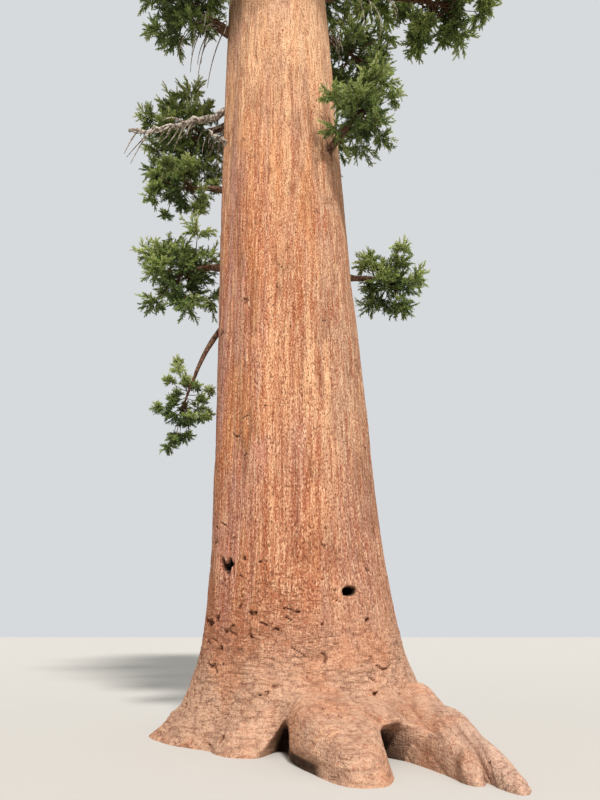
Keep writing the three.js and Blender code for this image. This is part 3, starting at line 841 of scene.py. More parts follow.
BARK_LAYERS = (
    ("rust", 0.6, ("strands", 0.5, 0.36), "mostly off the flare"),
    ("pale", 0.48, ("strands", 0.54, 0.7), "mostly off the flare"),
    ("furrow", 0.8, ("flecks", 0.47, 0.34), "half off the flare"),
    ("pale", 0.6, ("flecks", 0.56, 0.69), "half off the flare"),
    ("furrow", 0.25, "cracks"),
    ("rust", 0.4, "torn"),
    ("char", 0.85, "pits"),
    # Painted shade: the furrow colour darkens furrows, creases and gashes by how far each place is in them.
    ("furrow", 1, "cavity"),
    # Char of the burnt pockets, and painted shade on the walls of the hollows in the foot.
    ("char", 1, "burnt"),
)

# Relief of the bark's finish: height, and the noises, zones and marks that it is multiplied by
BARK_HEIGHTS = (
    (0.3, "flecks"),
    (0.6, "strands"),
    (0.9, "streaks", "off the flare"),
    (0.85, "creases", "flare"),
    (-0.36, "cracks"),
    (-0.9, "pits"),
    (-0.9, "torn"),
)


def bark_masks(tree):
    """Every noise, zone and mark of the bark by name."""
    spot = add_node(tree, "SeparateXYZ", {0: place(tree, ALL_WAYS)})
    masks = {name: clouds(tree, *sizes) for name, sizes in BARK_NOISE.items()}
    for name, (axis, start, full) in BARK_ZONES.items():
        masks[name] = between(tree, spot[axis], start, full)
    for name, (zone, share) in BARK_OFF_ZONES.items():
        masks[name] = calculated(tree, "SUBTRACT", (1.0, product(tree, share, masks[zone])))
    masks["cracks"] = product(tree, line_cracks(tree, *CRACKS), between(tree, masks["cracked"], 0.5, 0.62),
                              masks["crack top"])
    notches = product(tree, line_cracks(tree, *NOTCH_LINES), dots(tree, *NOTCH_DOTS),
                      masks["notch top"], masks["notch foot"])
    masks["pits"] = total(tree, dots(tree, *POCKS), notches)
    masks["torn"] = product(tree, masks["tear foot"], masks["tear top"], masks["tear side"],
                            between(tree, masks["tears"], 0.5, 0.42))
    # Painted shade of furrows, creases, gashes and hollows, and the char of the burnt pockets, worked out
    # for each point.
    for name in ("cavity", "burnt"):
        masks[name] = add_node(tree, "Attribute", {}, attribute_name=name)["Fac"]
    return masks


def layered(tree, colour, layers, masks, bark):
    """A colour under layers of the bark's other colours."""
    for name, strength, *limits in layers:
        values = [masks[limit] if isinstance(limit, str) else between(tree, masks[limit[0]], *limit[1:])
                  for limit in limits]
        colour = blended(tree, product(tree, strength, *values), colour, getattr(bark, name))
    return colour


def bark_material(bark):
    material, tree, shader = new_material("sequoia_bark", 0.95, 0.1)
    masks = bark_masks(tree)
    column = blended(tree, masks["right"], bark.cinnamon, bark.fawn)
    column = layered(tree, column, COLUMN_LAYERS, masks, bark)
    skin = layered(tree, bark.root, FLARE_LAYERS, masks, bark)
    colour = layered(tree, blended(tree, masks["flare"], column, skin), BARK_LAYERS, masks, bark)
    tree.links.new(colour, shader.inputs["Base Color"])
    heights = [product(tree, height, *(masks[name] for name in names)) for height, *names in BARK_HEIGHTS]
    raised(tree, shader, total(tree, *heights), 0.03, 0.75)
    return material


def limb_material(name, ridge, groove, stretch=ALL_WAYS):
    material, tree, shader = new_material(name, 0.88, 0.2)
    grain = clouds(tree, stretch, 30, 5)
    colour = blended(tree, between(tree, grain, 0.36, 0.62), groove, ridge)
    tree.links.new(colour, shader.inputs["Base Color"])
    raised(tree, shader, grain, 0.01, 0.6)
    return material


def needle_material(name, green):
    """One green that deepens a little in patches."""
    material, tree, shader = new_material(name, 0.6, 0.3)
    patches = between(tree, clouds(tree, ALL_WAYS, 5, 3), 0.35, 0.65)
    colour = blended(tree, patches, [part * 0.72 for part in green], green)
    tree.links.new(colour, shader.inputs["Base Color"])
    return material


def floor_material(colour):
    material, tree, shader = new_material("studio_floor", 0.9, 0.1)
    mottled = blended(tree, clouds(tree, ALL_WAYS, 1.3, 2), [part * 0.97 for part in colour], colour)
    tree.links.new(mottled, shader.inputs["Base Color"])
    return material


# Trunk

# Each stretch of bark: lowest and highest level, columns, rows and how far columns crowd in front
TRUNK_STRETCHES = {
    "trunk_bark_foot": (0, 2.4, 480, 190, 0.45),
    "trunk_bark_middle": (2.4, 13.4, 480, 205, 0.45),
    "trunk_bark_upper": (13.3, TRUNK_HEIGHT, 140, 100, 0),
}
FLARE_TOP = 1.7
FLARE_FULL = 0.75
TWIST_PER_METRE = 0.004
BROKEN_WIDTH = 0.2
BROKEN_LENGTH = 0.5
FIBRE_WIDTH = 0.022
FIBRE_LENGTH = 0.2
RIDGE_RUN = 5.0
CREASE_LENGTH = 0.16
FLARE_CALM = 0.75
# Painted shade: how dark the gashes are painted.
GASH_PAINTED_SHADE = 0.95
# Painted shade: how dark the walls of the hollows are painted.
HOLLOW_PAINTED_SHADE = 0.85
GASH_SLANT = np.array([[0.9, 0, 0.43], [0, 1, 0], [-0.43, 0, 0.9]])
GASH_CELL = (0.22, 0.22, 0.08)
GASH_PATCH = (0.13, 0.13, 0.06)
GASH_LEVEL = 1.15
GASH_CLIMB = 0.6
GASH_AZIMUTH = -112
GASH_WIDTH = 38
POCKET_EDGE = 2.2
ROOT_COLUMNS = 60
ROOT_ROWS = 110
ROOT_ROUNDING = 0.14
ROOT_GROOVE_DEPTH = 0.011
ROOT_LUMP_DEPTH = 0.06
ROOT_KNEE_DEPTH = 0.12

# Burnt pockets: azimuth, level, half width, half height and depth in metres, and tilt in degrees
BURNT_POCKETS = (
    (-141.6, 1.87, 0.035, 0.075, 0.14, 24),
    (-137, 1.84, 0.045, 0.085, 0.16, -22),
    (-58.6, 1.551, 0.082, 0.045, 0.17, 6),
)


def bark_layer(azimuth, height, width, length, seed, shift=0.0):
    """Noise wrapped round the trunk, with cells of one width and length."""
    angle = np.radians(azimuth) + TWIST_PER_METRE * height
    return cloud(stacked(COLUMN_RADIUS * np.cos(angle) / width + shift,
                         COLUMN_RADIUS * np.sin(angle) / width + shift, height / length), seed)


def folded(values):
    """0 along winding lines through noise and up to 1 away from them."""
    return np.abs(2 * values - 1)


def grooves(values, narrowness, power):
    """1 along winding lines through noise, falling to 0 beside them."""
    return (1 - np.minimum(1, folded(values) * narrowness)) ** power


def column_relief(bark, azimuth, height):
    """Depth of the upright bark under the trunk's outline, and how far each place is in a furrow."""
    wander = 1.2 * (bark_layer(azimuth, height, 0.5, 1.3, 11) - 0.5)
    ridges = bark_layer(azimuth, height, bark.ridge_width, RIDGE_RUN, 13, wander)
    fibres = bark_layer(azimuth, height, FIBRE_WIDTH, FIBRE_LENGTH, 7, wander)
    broken = smooth_step(0.35, 0.65, bark_layer(azimuth, height, BROKEN_WIDTH, BROKEN_LENGTH, 17))
    furrows = bark_layer(azimuth, height, bark.furrow_width * 1.6, bark.furrow_length, 3, wander)
    minor = bark_layer(azimuth, height, bark.furrow_width * 0.7, bark.furrow_length * 0.4, 5, wander)
    furrows = grooves(furrows, 2.6, 1.3) * broken
    minor = grooves(minor, 1.8, 1.5)
    depth = bark.furrow_depth * (furrows + 0.5 * minor) + bark.fibre_depth * (1 - fibres)
    depth += bark.ridge_height * (0.5 - ridges)
    # The second value is painted shade: how far each place is in a furrow.
    return depth, 0.34 * furrows ** 1.6 + 0.16 * minor


def flare_relief(bark, points):
    """Fine creases of the flare, which wrap round it and run down its sides."""
    wander = 0.9 * (cloud(points / 0.3, 41) - 0.5)[..., None]
    stretch = np.array([CREASE_LENGTH, CREASE_LENGTH, bark.crease_height])
    creases = grooves(cloud(points / stretch + wander, 43), 3.2, 1.2)
    fine = grooves(cloud(points / (0.5 * stretch) + wander, 47), 2.6, 1.2)
    lumps = cloud(points / 0.16, 49) - 0.5
    depth = bark.crease_depth * (creases + 0.45 * fine) - 0.02 * lumps
    # The second value is painted shade in the creases.
    return depth, 0.4 * creases + 0.16 * fine


def gashes(azimuth, height, points):
    """Short dark gashes that slant across the lower trunk, most of them at its left and middle."""
    lines = grooves(cloud(points @ GASH_SLANT / GASH_CELL, 53), 5, 1)
    zone = 0.3 + 0.7 * bell(turn_between(azimuth, GASH_AZIMUTH), GASH_WIDTH, 2)
    zone = zone * bell(height - GASH_LEVEL, GASH_CLIMB, 2)
    return lines * smooth_step(0.66, 0.76, cloud(points / GASH_PATCH, 57) + 0.16 * zone - 0.12)


def pocket_depth(azimuth, height, radius):
    depth = np.zeros(azimuth.shape)
    burnt = np.zeros(azimuth.shape)
    for centre, level, wide, tall, deep, tilt in BURNT_POCKETS:
        across = np.radians(turn_between(azimuth, centre)) * radius
        along = height - level
        turn = math.radians(tilt)
        share_x = (across * math.cos(turn) + along * math.sin(turn)) / wide
        share_z = (along * math.cos(turn) - across * math.sin(turn)) / tall
        share = np.exp(-(share_x ** 2 + share_z ** 2) ** POCKET_EDGE)
        depth = np.maximum(depth, deep * share)
        burnt = np.maximum(burnt, smooth_step(0.06, 0.3, share))
    # Painted shade: the walls of the hollows are darkened like char.
    for hollow in HOLLOWS.values():
        shade = smooth_step(0.4, 0.9, hollow_share(hollow, azimuth, height))
        burnt = np.maximum(burnt, HOLLOW_PAINTED_SHADE * shade)
    return depth, burnt


def trunk_grid(bark, low, high, columns, rows, crowding):
    """Points, faces and shades of the bark from one height to another, closed where the trunk ends."""
    turn = round_turn(columns)
    azimuths = np.degrees(turn - crowding * np.sin(turn)) - 90
    height, azimuth = np.meshgrid(np.linspace(low, high, rows), azimuths, indexing="ij")
    radius = trunk_radius(azimuth, height)
    depth, cavity = column_relief(bark, azimuth, height)
    depth *= smooth_step(0, 1, radius / COLUMN_RADIUS)
    burnt = np.zeros(height.shape)
    if low < FLARE_TOP:
        surface = trunk_point(azimuth, height, radius)
        flare_depth, flare_cavity = flare_relief(bark, surface)
        share = 1 - smooth_step(FLARE_FULL, FLARE_TOP, height)
        cuts = gashes(azimuth, height, surface)
        pocket, burnt = pocket_depth(azimuth, height, radius)
        depth = depth * (1 - FLARE_CALM * share) + share * flare_depth + bark.gash_depth * cuts + pocket
        # Painted shade: furrows, creases and gashes darken the bark by how far each place is in them.
        cavity = np.maximum(cavity * (1 - share) + share * flare_cavity, GASH_PAINTED_SHADE * cuts)
    points = trunk_point(azimuth, height, radius - depth)
    parts = [(points.reshape(-1, 3), halved(tube_faces(rows, columns)))]
    for level, rim in ((0, points[0][::-1]), (TRUNK_HEIGHT, points[-1])):
        if level in (low, high):
            hub = trunk_point(0, level, 0)[None]
            parts.append((np.concatenate([rim, hub]), fan(np.arange(columns), columns)))
    points, faces = joined(parts)
    extra = np.zeros(len(points) - cavity.size)
    shades = {"cavity": np.append(cavity, extra), "burnt": np.append(burnt, extra)}
    return points, faces, shades


def root_grid(bark, ends, crest, wide):
    """One root as half a tube on the ground, with furrows that run along it."""
    start, middle, end = [radius * limb_direction(azimuth, 0) for azimuth, radius in ends]
    share = np.linspace(0, 1, ROOT_ROWS)[:, None]
    centre = bend_points(start, 2 * middle - 0.5 * (start + end), end, ROOT_ROWS - 1)[:, None]
    along = unit(np.gradient(centre[:, 0], axis=0))
    across = np.stack([-along[:, 1], along[:, 0], 0 * along[:, 0]], -1)[:, None]
    fillet = np.exp(-share / ROOT_FILLET)
    closing = np.sqrt(1 - np.clip((share - 1 + ROOT_ROUNDING) / ROOT_ROUNDING, 0, 1) ** 2)
    taper = share ** ROOT_FULLNESS
    tall = (crest + (ROOT_TIP_WIDTH - crest) * taper + ROOT_CLIMB * fillet) * closing
    half = (wide + (ROOT_TIP_WIDTH - wide) * taper + ROOT_SPREAD * fillet) * closing
    turn = np.linspace(0, math.pi, ROOT_COLUMNS)[None]
    around = turn * half
    path = np.linspace(0, np.linalg.norm(end - start), ROOT_ROWS)[:, None]

    def root_layer(width, length, shift, seed):
        return cloud(stacked(around / width, path / length, crest * shift), seed)

    furrows = grooves(root_layer(0.07, 0.55, 30, 61), 2.4, 1.3)
    lumps = root_layer(0.17, 0.3, 50, 67) - 0.5
    knees = root_layer(0.5, 0.6, 90, 71) - 0.5
    swell = (ROOT_LUMP_DEPTH * lumps + ROOT_KNEE_DEPTH * knees) * np.sin(turn) * smooth_step(0, 0.2, share)
    pressed = (ROOT_GROOVE_DEPTH * furrows + swell) / np.maximum(0.06, np.minimum(half, tall))
    shrink = 1 - pressed * closing
    points = centre + across * (np.cos(turn) * half * shrink)[..., None]
    points = points + UP * (np.sin(turn) * tall * shrink)[..., None]
    depth, cavity = flare_relief(bark, points)
    points[..., 2] = np.maximum(0, points[..., 2] - 0.5 * depth * np.sin(turn))
    row, column = np.meshgrid(np.arange(ROOT_ROWS - 1), np.arange(ROOT_COLUMNS - 1), indexing="ij")
    here = row * ROOT_COLUMNS + column
    faces = np.stack([here, here + ROOT_COLUMNS, here + ROOT_COLUMNS + 1, here + 1], -1).reshape(-1, 4)
    # The last value is painted shade in the root's furrows and creases.
    return points.reshape(-1, 3), faces, np.maximum(0.3 * furrows, 0.8 * cavity).ravel()


def build_trunk(context):
    bark = context.scene.sequoia_bark
    material = bark_material(bark)
    for name, stretch in TRUNK_STRETCHES.items():
        points, faces, shades = trunk_grid(bark, *stretch)
        make_piece(name, points, faces, material, ["trunk"], shades=shades)
    roots = [root_grid(bark, sizes[:3], *sizes[3:]) for sizes in ROOTS.values()]
    points, faces = joined([root[:2] for root in roots])
    shades = {"cavity": np.concatenate([root[2] for root in roots]), "burnt": np.zeros(len(points))}
    make_piece("trunk_bark_roots", points, faces, material, ["trunk"], shades=shades)


# Boughs and dead limbs

BOUGH_SIDES = 14
BOUGH_RINGS = 22
COLLAR_SHARE = 0.45
COLLAR_REACH = 0.1
LIMB_ROUGHNESS = 0.22
DEAD_SIDES = 10
DEAD_ROUGHNESS = 0.3
DEAD_WOBBLE = 0.018
DEAD_TWIGS_PER_SOURCE_TWIG = 3
DEAD_TWIG_SIDES = 5
DEAD_TWIG_STEPS = 6
DEAD_TWIG_ROUGHNESS = 0.2
DEAD_TWIG_TURN = 50
DEAD_TWIG_TURN_SPAN = 30
DEAD_TWIG_BOW = 0.06
DEAD_TWIG_THICKNESS = (0.22, 0.07)

# Boughs that carry bare hanging twigs, and how many each has
BARE_TWIGS = {"left_bright": 16, "left_rear_upper": 18, "right_dark": 14, "right_reach": 5}
BARE_TWIG_RADIUS = 0.013
BARE_TWIG_SPREAD = 55
BARE_TWIG_REACH = 0.6
BARE_TWIG_BOW = 0.05
BOUGH_POINTS = 40

# Ranges that are drawn from evenly: the least value and how far it goes over that
DEAD_TWIG_PLACES = (0.35, 0.62)
DEAD_TWIG_TILTS = (20, 45)
DEAD_TWIG_LENGTHS = (0.3, 0.45)
BARE_TWIG_FALLS = (0.4, 0.56)

# Sticks of wood: how thin the end is to the start, sides and steps
BARE_TWIG_SHAPE = (0.45, 5, 8)
STEM_SHAPE = (0.3, 6, 6)
TWIG_SHAPE = (0.4, 4, 3)
TWIGLET_SHAPE = (0.4, 3, 1)

# First seeds of the limbs' noise and of their random numbers
BOUGH_NOISE = 40
DEAD_NOISE = 80
DEAD_SEED = 500
BARE_TWIG_SEED = 700
FOLIAGE_SEED = 1000


def build_boughs(context):
    limbs = context.scene.sequoia_limbs
    material = limb_material("sequoia_limb_bark", limbs.bark, limbs.bark_dark)
    share = np.linspace(0, 1, BOUGH_RINGS + 1)
    for number, bough in enumerate(BOUGHS):
        line = bough_points(bough, BOUGH_RINGS)
        radii = bough.radius * (1 + (BOUGH_TAPER - 1) * share + COLLAR_SHARE * np.exp(-share / COLLAR_REACH))
        points, faces = rough_tube(line, radii, BOUGH_SIDES, LIMB_ROUGHNESS, BOUGH_NOISE + number)
        name = f"bough_{bough.name}"
        make_piece(f"bark_{name}", points, faces, material, [name])


def build_dead_limbs(context):
    limbs = context.scene.sequoia_limbs
    material = limb_material("sequoia_dead_wood", limbs.dead, limbs.dead_dark, (1, 1, 0.5))
    for number, (name, sizes) in enumerate(DEAD_LIMBS.items()):
        azimuth, root, distance, height, radius, twigs = sizes
        start = root_point(SimpleNamespace(azimuth=azimuth, root=root))
        tip = trunk_point(azimuth, height, distance)
        bend = (start + tip) / 2 - UP * DEAD_SAG * np.linalg.norm(tip - start)
        line = bend_points(start, bend, tip, BOUGH_RINGS)
        random = np.random.default_rng(DEAD_SEED + number)
        line[4:-1] += random.normal(0, DEAD_WOBBLE, (len(line) - 5, 3))
        radii = radius * np.linspace(1, DEAD_TAPER, len(line))
        parts = [rough_tube(line, radii, DEAD_SIDES, DEAD_ROUGHNESS, DEAD_NOISE + number)]
        count = twigs * DEAD_TWIGS_PER_SOURCE_TWIG
        for twig in range(count):
            place = DEAD_TWIG_PLACES[0] + DEAD_TWIG_PLACES[1] * (twig + 0.5) / count
            origin = line[int(place * BOUGH_RINGS)]
            turn = drawn(random, (DEAD_TWIG_TURN if twig % 2 else -DEAD_TWIG_TURN, DEAD_TWIG_TURN_SPAN))
            way = limb_direction(azimuth + turn, -drawn(random, DEAD_TWIG_TILTS))
            end = origin + way * drawn(random, DEAD_TWIG_LENGTHS)
            middle = (origin + end) / 2 + random.normal(0, DEAD_TWIG_BOW, 3)
            twig_line = bend_points(origin, middle, end, DEAD_TWIG_STEPS)
            radii = radius * np.linspace(*DEAD_TWIG_THICKNESS, len(twig_line))
            parts.append(rough_tube(twig_line, radii, DEAD_TWIG_SIDES, DEAD_TWIG_ROUGHNESS, twig))
        points, faces = joined(parts)
        make_piece(f"wood_{name}", points, faces, material, [name])
    build_bare_twigs(material)


def build_bare_twigs(material):
    """Thin bleached twigs that curve down from some of the boughs, inside the reach of their masses."""
    random = np.random.default_rng(BARE_TWIG_SEED)
    carriers = [bough for bough in BOUGHS if bough.name in BARE_TWIGS]
    parts = []
    for bough in carriers:
        count = BARE_TWIGS[bough.name]
        starts = bough_points(bough, BOUGH_POINTS)[random.integers(BOUGH_POINTS // 2, BOUGH_POINTS, count)]
        turn = np.radians(bough.azimuth + random.normal(0, BARE_TWIG_SPREAD, count))
        fall = drawn(random, BARE_TWIG_FALLS, (count, 1))
        level = stacked(np.cos(turn), np.sin(turn), 0) * fall * BARE_TWIG_REACH
        ends = starts + level - UP * fall
        bends = starts + 1.1 * level - 0.15 * UP * fall + random.normal(0, BARE_TWIG_BOW, ends.shape)
        parts.append(sticks(starts, bends, ends, np.full(count, BARE_TWIG_RADIUS), *BARE_TWIG_SHAPE))
    points, faces = joined(parts)
    nodes = [f"bough_{bough.name}" for bough in carriers]
    make_piece("bare_twigs", points, faces, material, nodes)


# Foliage

TINTS = ("shade_green", "deep_green", "leaf_green", "tip_green")
LOBE_SHARE = 0.76
LOBE_LEAST = 0.4
LOBE_STEP = 0.07
CLUMP_RADIUS_SHARE = 0.34
OPEN_CLUMP_RADIUS_SHARE = 0.24
CLUMP_FLATNESS = 0.85
STEM_BOW = 0.04
TWIG_SAG = 0.12
TWIGLET_RADIUS_SHARE = 0.34
SPRAY_SPLAY = 0.7
LOW_SPRAY_SHARE = 0.37
CROWN_SPRAY_SHARE = 0.56
NEEDLE_LEAN = math.radians(46)
NEEDLE_LENGTH_SHARE = 0.36
NEEDLE_WIDTH_SHARE = 0.16
NEEDLES_FROM = 0.02
NEEDLES_SPAN = 0.82
AXIS_WIDTH_SHARE = 0.4
CLUMP_ROUNDNESS = 1.4
CLUMP_SCATTER = 0.22
SLANTED = (0.31, 0.17, 0.93)
LIGHT = SimpleNamespace(middle=0.5, up=0.26, outward=0.16, rim=0.75, rim_start=0.8, scatter=0.13)
DROOP = 0.1
FUZZ_REACH = 1.08
BOX_MARGIN = 0.1
PIECE_LIMIT = 190000

# More ranges that are drawn from evenly
DENSE_FILL = (0.22, 0.4)
OPEN_FILL = (0.3, 0.6)
LOBE_SIZES = (0.85, 0.5)
FILL_SIZES = (0.7, 0.5)
TWIGLET_LENGTHS = (0.45, 0.5)
SPRAY_LENGTHS = (0.7, 0.5)


def plan_clumps(mass, wanted, random):
    """Fork, centre and size of each clump: a lobe at each of the source's twigs, then fill between."""
    ball = mass.spread * (CLUMP_RADIUS_SHARE if mass.core else OPEN_CLUMP_RADIUS_SHARE)
    sites = [(fork, (end - mass.centre) * LOBE_SHARE, ball * drawn(random, LOBE_SIZES))
             for fork, end in source_twigs(mass)]
    extra = wanted - len(sites)
    for number in range(extra):
        turn = number * GOLDEN_ANGLE + 0.9 * random.random() + mass.seed
        way = ball_way(number, extra, turn) * mass.radii
        reach = drawn(random, DENSE_FILL if mass.core else OPEN_FILL)
        sites.append((fork_point(mass, number, extra), way * reach, ball * drawn(random, FILL_SIZES)))
    clumps = []
    for fork, way, size in sites:
        reach = 1.0
        while reach > LOBE_LEAST and not in_own_space(mass, (mass.centre + way * reach)[None])[0]:
            reach -= LOBE_STEP
        centre = mass.centre + way * reach
        if in_own_space(mass, centre[None])[0]:
            clumps.append((fork, centre, size))
    return [np.array(column) for column in zip(*clumps)]


def spread_directions(outward, count, random):
    """For each clump, directions spread over a ball and turned so that most of them face outward."""
    number = np.arange(count) + 0.5
    rise = 1 - CLUMP_ROUNDNESS * number / count
    level = np.sqrt(np.maximum(0, 1 - rise ** 2))
    turn = number * GOLDEN_ANGLE + 2 * math.pi * random.random((len(outward), 1))
    side = unit(np.cross(outward, SLANTED))
    other = np.cross(outward, side)
    ways = (side[:, None] * (level * np.cos(turn))[..., None]
            + other[:, None] * (level * np.sin(turn))[..., None] + outward[:, None] * rise[None, :, None])
    return unit(ways + random.normal(0, CLUMP_SCATTER, ways.shape))


def spray_needles(bases, directions, lengths, rolls, count):
    """Each spray as three-cornered needles: one along its axis and the others in a spiral round it."""
    share = (np.arange(count) + 0.5) / count
    radial = spokes(directions, rolls[:, None] + np.arange(count) * GOLDEN_ANGLE)
    lean = NEEDLE_LEAN * (1.2 - 0.7 * share)[None, :, None]
    out = directions[:, None] * np.cos(lean) + radial * np.sin(lean)
    side = np.cross(directions[:, None], radial)
    long = lengths[:, None] * NEEDLE_LENGTH_SHARE * (1.2 - 0.5 * share)
    roots = lengths[:, None] * (NEEDLES_FROM + NEEDLES_SPAN * share)
    roots = bases[:, None] + directions[:, None] * roots[..., None]
    wide = (lengths * NEEDLE_WIDTH_SHARE * 0.5)[:, None, None]
    needles = np.stack([roots + side * wide, roots - side * wide, roots + out * long[..., None]], 2)
    reach = sideways(directions)[0] * (AXIS_WIDTH_SHARE * NEEDLE_WIDTH_SHARE * lengths)[:, None]
    axes = np.stack([bases + reach, bases - reach, bases + directions * lengths[:, None]], 1)
    return np.concatenate([needles, axes[:, None]], 1)


def grow_wood(mass, foliage, random):
    """Stem, twigs and twiglets of one mass, and what its sprays need to know of them."""
    wanted = foliage.low_clumps if mass.low else foliage.crown_clumps
    forks, centres, sizes = plan_clumps(mass, wanted, random)
    start = root_point(mass) if mass.on_trunk and mass.name != TOP_MASS else mass.tip
    end = mass.centre + (mass.centre - mass.tip) * STEM_PAST_CENTRE
    radius = STEM_RADIUS_SHARE * mass.spread if mass.on_trunk else BOUGH_TAPER * mass.radius
    bend = (start + end) / 2 + random.normal(0, STEM_BOW * mass.spread, 3)
    wood = [sticks(start[None], bend[None], end[None], np.array([radius]), *STEM_SHAPE)]
    bends = (forks + centres) / 2 - UP * TWIG_SAG * mass.spread
    radius = TWIG_RADIUS_SHARE * mass.spread
    wood.append(sticks(forks, bends, centres, np.full(len(forks), radius), *TWIG_SHAPE))

    outward = unit(centres - mass.centre + 0.2 * UP * mass.spread)
    ways = spread_directions(outward, foliage.twiglets, random)
    reach = sizes[:, None, None] * drawn(random, TWIGLET_LENGTHS, (*ways.shape[:2], 1))
    starts = np.broadcast_to((centres - outward * 0.25 * sizes[:, None])[:, None], ways.shape)
    ends = centres[:, None] + ways * np.array([1, 1, CLUMP_FLATNESS]) * reach
    inside = in_own_space(mass, ends)
    clump = np.nonzero(inside)[0]
    starts, ends, ways = starts[inside], ends[inside], ways[inside]
    bends = (starts + ends) / 2 + ways * 0.1 * sizes[clump][:, None]
    radius = radius * TWIGLET_RADIUS_SHARE
    wood.append(sticks(starts, bends, ends, np.full(len(ends), radius), *TWIGLET_SHAPE))
    return wood, starts, ends, ways, clump, (centres[:, 2], sizes, outward[:, 2])


def grow_sprays(mass, foliage, random, starts, ends, ways, clump, clumps):
    """Needles of every spray along the twiglets of one mass, in a list for each tint."""
    count = foliage.low_sprays if mass.low else foliage.crown_sprays
    share = ((np.arange(count) + 0.6) / count)[None, :, None]
    bases = (starts[:, None] + (ends - starts)[:, None] * (0.2 + 0.8 * share)).reshape(-1, 3)
    splay = random.normal(0, SPRAY_SPLAY, (len(starts), count, 3)) * (1.35 - share)
    directions = unit(ways[:, None] + splay - DROOP * UP).reshape(-1, 3)
    clump = np.repeat(clump, count)
    long = LOW_SPRAY_SHARE if mass.low else CROWN_SPRAY_SHARE
    lengths = mass.spread * CLUMP_RADIUS_SHARE * long * drawn(random, SPRAY_LENGTHS, len(bases))
    tips = bases + directions * lengths[:, None]
    good = in_own_space(mass, tips, FUZZ_REACH) & in_own_space(mass, bases)
    low, high = np.array(CAD_LOW) - BOX_MARGIN, np.array(CAD_HIGH) + BOX_MARGIN
    good &= np.all((tips > low) & (tips < high), axis=-1)
    kept = (part[good] for part in (bases, directions, lengths, tips, clump))
    bases, directions, lengths, tips, clump = kept
    rolls = random.random(len(bases)) * 2 * math.pi
    grown = spray_needles(bases, directions, lengths, rolls, foliage.needles)
    levels, sizes, outward = (values[clump] for values in clumps)
    light = LIGHT.middle + LIGHT.up * (tips[:, 2] - levels) / sizes + LIGHT.outward * outward
    light = light + LIGHT.rim * (np.sqrt(fill(mass, tips)) - LIGHT.rim_start)
    light = light + random.normal(0, LIGHT.scatter, len(bases))
    tint = np.clip((light * len(TINTS)).astype(int), 0, len(TINTS) - 1)
    return [grown[tint == index].reshape(-1, 3, 3) for index in range(len(TINTS))]


def build_foliage(context):
    foliage = context.scene.sequoia_foliage
    limbs = context.scene.sequoia_limbs
    twig_bark = limb_material("sequoia_twig_bark", limbs.twig, limbs.bark_dark)
    greens = [needle_material(f"sequoia_{name}", getattr(foliage, name)) for name in TINTS]
    for group, low in (("low", True), ("crown", False)):
        wood, needles = [], []
        masses = [mass for mass in MASSES if mass.low == low]
        nodes = [f"foliage_{mass.name}" for mass in masses]
        for mass in masses:
            random = np.random.default_rng(FOLIAGE_SEED + mass.seed)
            grown, *twiglets = grow_wood(mass, foliage, random)
            wood += grown
            needles.append(grow_sprays(mass, foliage, random, *twiglets))
        points, faces = joined(wood)
        make_piece(f"twigs_{group}", points, faces, twig_bark, nodes)
        for name, green, parts in zip(TINTS, greens, zip(*needles)):
            corners = np.concatenate(parts)
            pieces = math.ceil(len(corners) / PIECE_LIMIT)
            for number, part in enumerate(np.array_split(corners, pieces)):
                faces = np.arange(len(part) * 3).reshape(-1, 3)
                make_piece(f"needles_{group}_{name}_{number + 1}", part.reshape(-1, 3), faces, green,
                           nodes, smooth=False)


# Stage

FLOOR_REACH = 1500.0
SENSOR_WIDTH = 36
CLIP_END = 3000
KEY_TURN = math.radians(12)
KEY_TILT = math.radians(44)


def build_stage(context):
    stage = context.scene.sequoia_stage
    floor_mesh = bpy.data.meshes.new("floor")
    corners = [(x * FLOOR_REACH, y * FLOOR_REACH, 0) for x, y in ((-1, -1), (1, -1), (1, 1), (-1, 1))]
    floor_mesh.from_pydata(corners, [], [(0, 1, 2, 3)])
    floor_mesh.materials.append(floor_material(stage.floor))
    floor = bpy.data.objects.new("floor", floor_mesh)
    context.scene.collection.objects.link(floor)

    world = bpy.data.worlds.new("studio_backdrop")
    world.use_nodes = True
    background = world.node_tree.nodes["Background"]
    background.inputs["Color"].default_value = (*stage.backdrop, 1)
    background.inputs["Strength"].default_value = stage.backdrop_strength
    context.scene.world = world

    lamp = bpy.data.lights.new("key_light", "SUN")
    lamp.energy = stage.key_strength
    lamp.angle = stage.key_softness
    key = bpy.data.objects.new("key_light", lamp)
    key.rotation_euler = (KEY_TILT, 0, KEY_TURN)
    context.scene.collection.objects.link(key)

    lens = bpy.data.cameras.new("camera")
    lens.lens = stage.lens
    lens.sensor_width = SENSOR_WIDTH
    lens.clip_end = CLIP_END
    camera = bpy.data.objects.new("camera", lens)
    camera.location = (0, -stage.eye_distance, stage.eye_height)
    camera.rotation_euler = (math.pi / 2 + stage.eye_pitch, 0, 0)
    context.scene.collection.objects.link(camera)
    context.scene.camera = camera
    context.scene.view_settings.view_transform = "Standard"


# Operators

class SEQUOIA_OT_trunk(bpy.types.Operator):
    """Build the trunk's furrowed bark, root flare and burl"""

    bl_idname = "sequoia.trunk"
    bl_label = "Trunk"
    bl_options = {"REGISTER", "UNDO"}

    def execute(self, context):
        build_trunk(context)
        return {"FINISHED"}


class SEQUOIA_OT_boughs(bpy.types.Operator):
    """Build the bark of every bough"""

    bl_idname = "sequoia.boughs"
    bl_label = "Boughs"
    bl_options = {"REGISTER", "UNDO"}

    def execute(self, context):
        build_boughs(context)
        return {"FINISHED"}


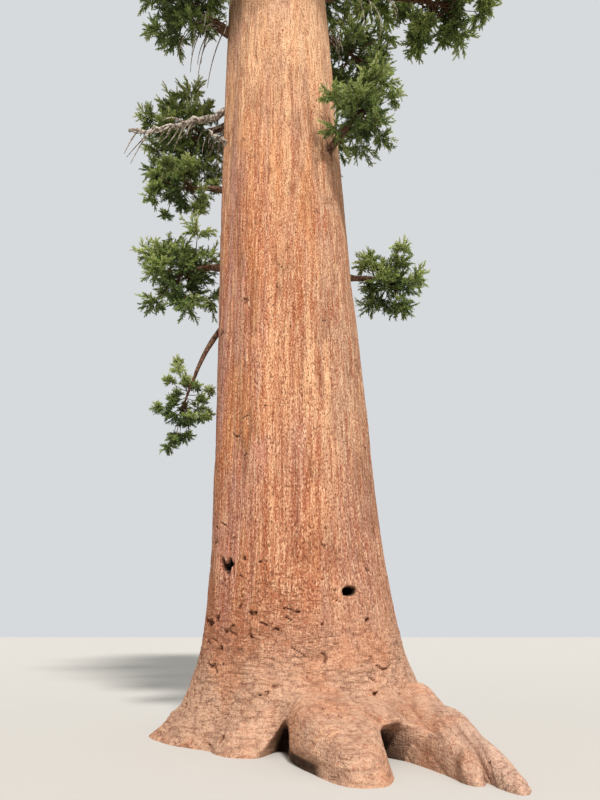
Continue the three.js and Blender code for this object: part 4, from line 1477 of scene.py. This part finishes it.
class SEQUOIA_OT_dead_limbs(bpy.types.Operator):
    """Build the bleached dead limbs and their bare twigs"""

    bl_idname = "sequoia.dead_limbs"
    bl_label = "Dead limbs"
    bl_options = {"REGISTER", "UNDO"}

    def execute(self, context):
        build_dead_limbs(context)
        return {"FINISHED"}


class SEQUOIA_OT_foliage(bpy.types.Operator):
    """Grow the stems, twigs and sprays of needles of every mass of foliage"""

    bl_idname = "sequoia.foliage"
    bl_label = "Foliage"
    bl_options = {"REGISTER", "UNDO"}

    def execute(self, context):
        build_foliage(context)
        return {"FINISHED"}


class SEQUOIA_OT_stage(bpy.types.Operator):
    """Set up the floor, light and camera"""

    bl_idname = "sequoia.stage"
    bl_label = "Stage"
    bl_options = {"REGISTER", "UNDO"}

    def execute(self, context):
        build_stage(context)
        return {"FINISHED"}


OPERATORS = (
    SEQUOIA_OT_stage,
    SEQUOIA_OT_trunk,
    SEQUOIA_OT_boughs,
    SEQUOIA_OT_dead_limbs,
    SEQUOIA_OT_foliage,
)


class SEQUOIA_PT_parts(bpy.types.Panel):
    """Lists the parts of the tree and their settings"""

    bl_idname = "SEQUOIA_PT_parts"
    bl_label = "Giant Sequoia"
    bl_space_type = "VIEW_3D"
    bl_region_type = "UI"
    bl_category = "Sequoia"

    def draw(self, context):
        for operator in OPERATORS:
            self.layout.operator(operator.bl_idname)
        for name, settings in SETTINGS.items():
            box = self.layout.box()
            box.label(text=settings.__doc__)
            for key in settings.__annotations__:
                box.prop(getattr(context.scene, name), key)


CLASSES = (*SETTINGS.values(), *OPERATORS, SEQUOIA_PT_parts)


def register():
    for cls in CLASSES:
        bpy.utils.register_class(cls)
    for name, settings in SETTINGS.items():
        setattr(bpy.types.Scene, name, bpy.props.PointerProperty(type=settings))


def unregister():
    for name in SETTINGS:
        delattr(bpy.types.Scene, name)
    for cls in reversed(CLASSES):
        bpy.utils.unregister_class(cls)


def main():
    register()
    for operator in OPERATORS:
        module, name = operator.bl_idname.split(".")
        getattr(getattr(bpy.ops, module), name)()


if __name__ == "__main__":
    main()
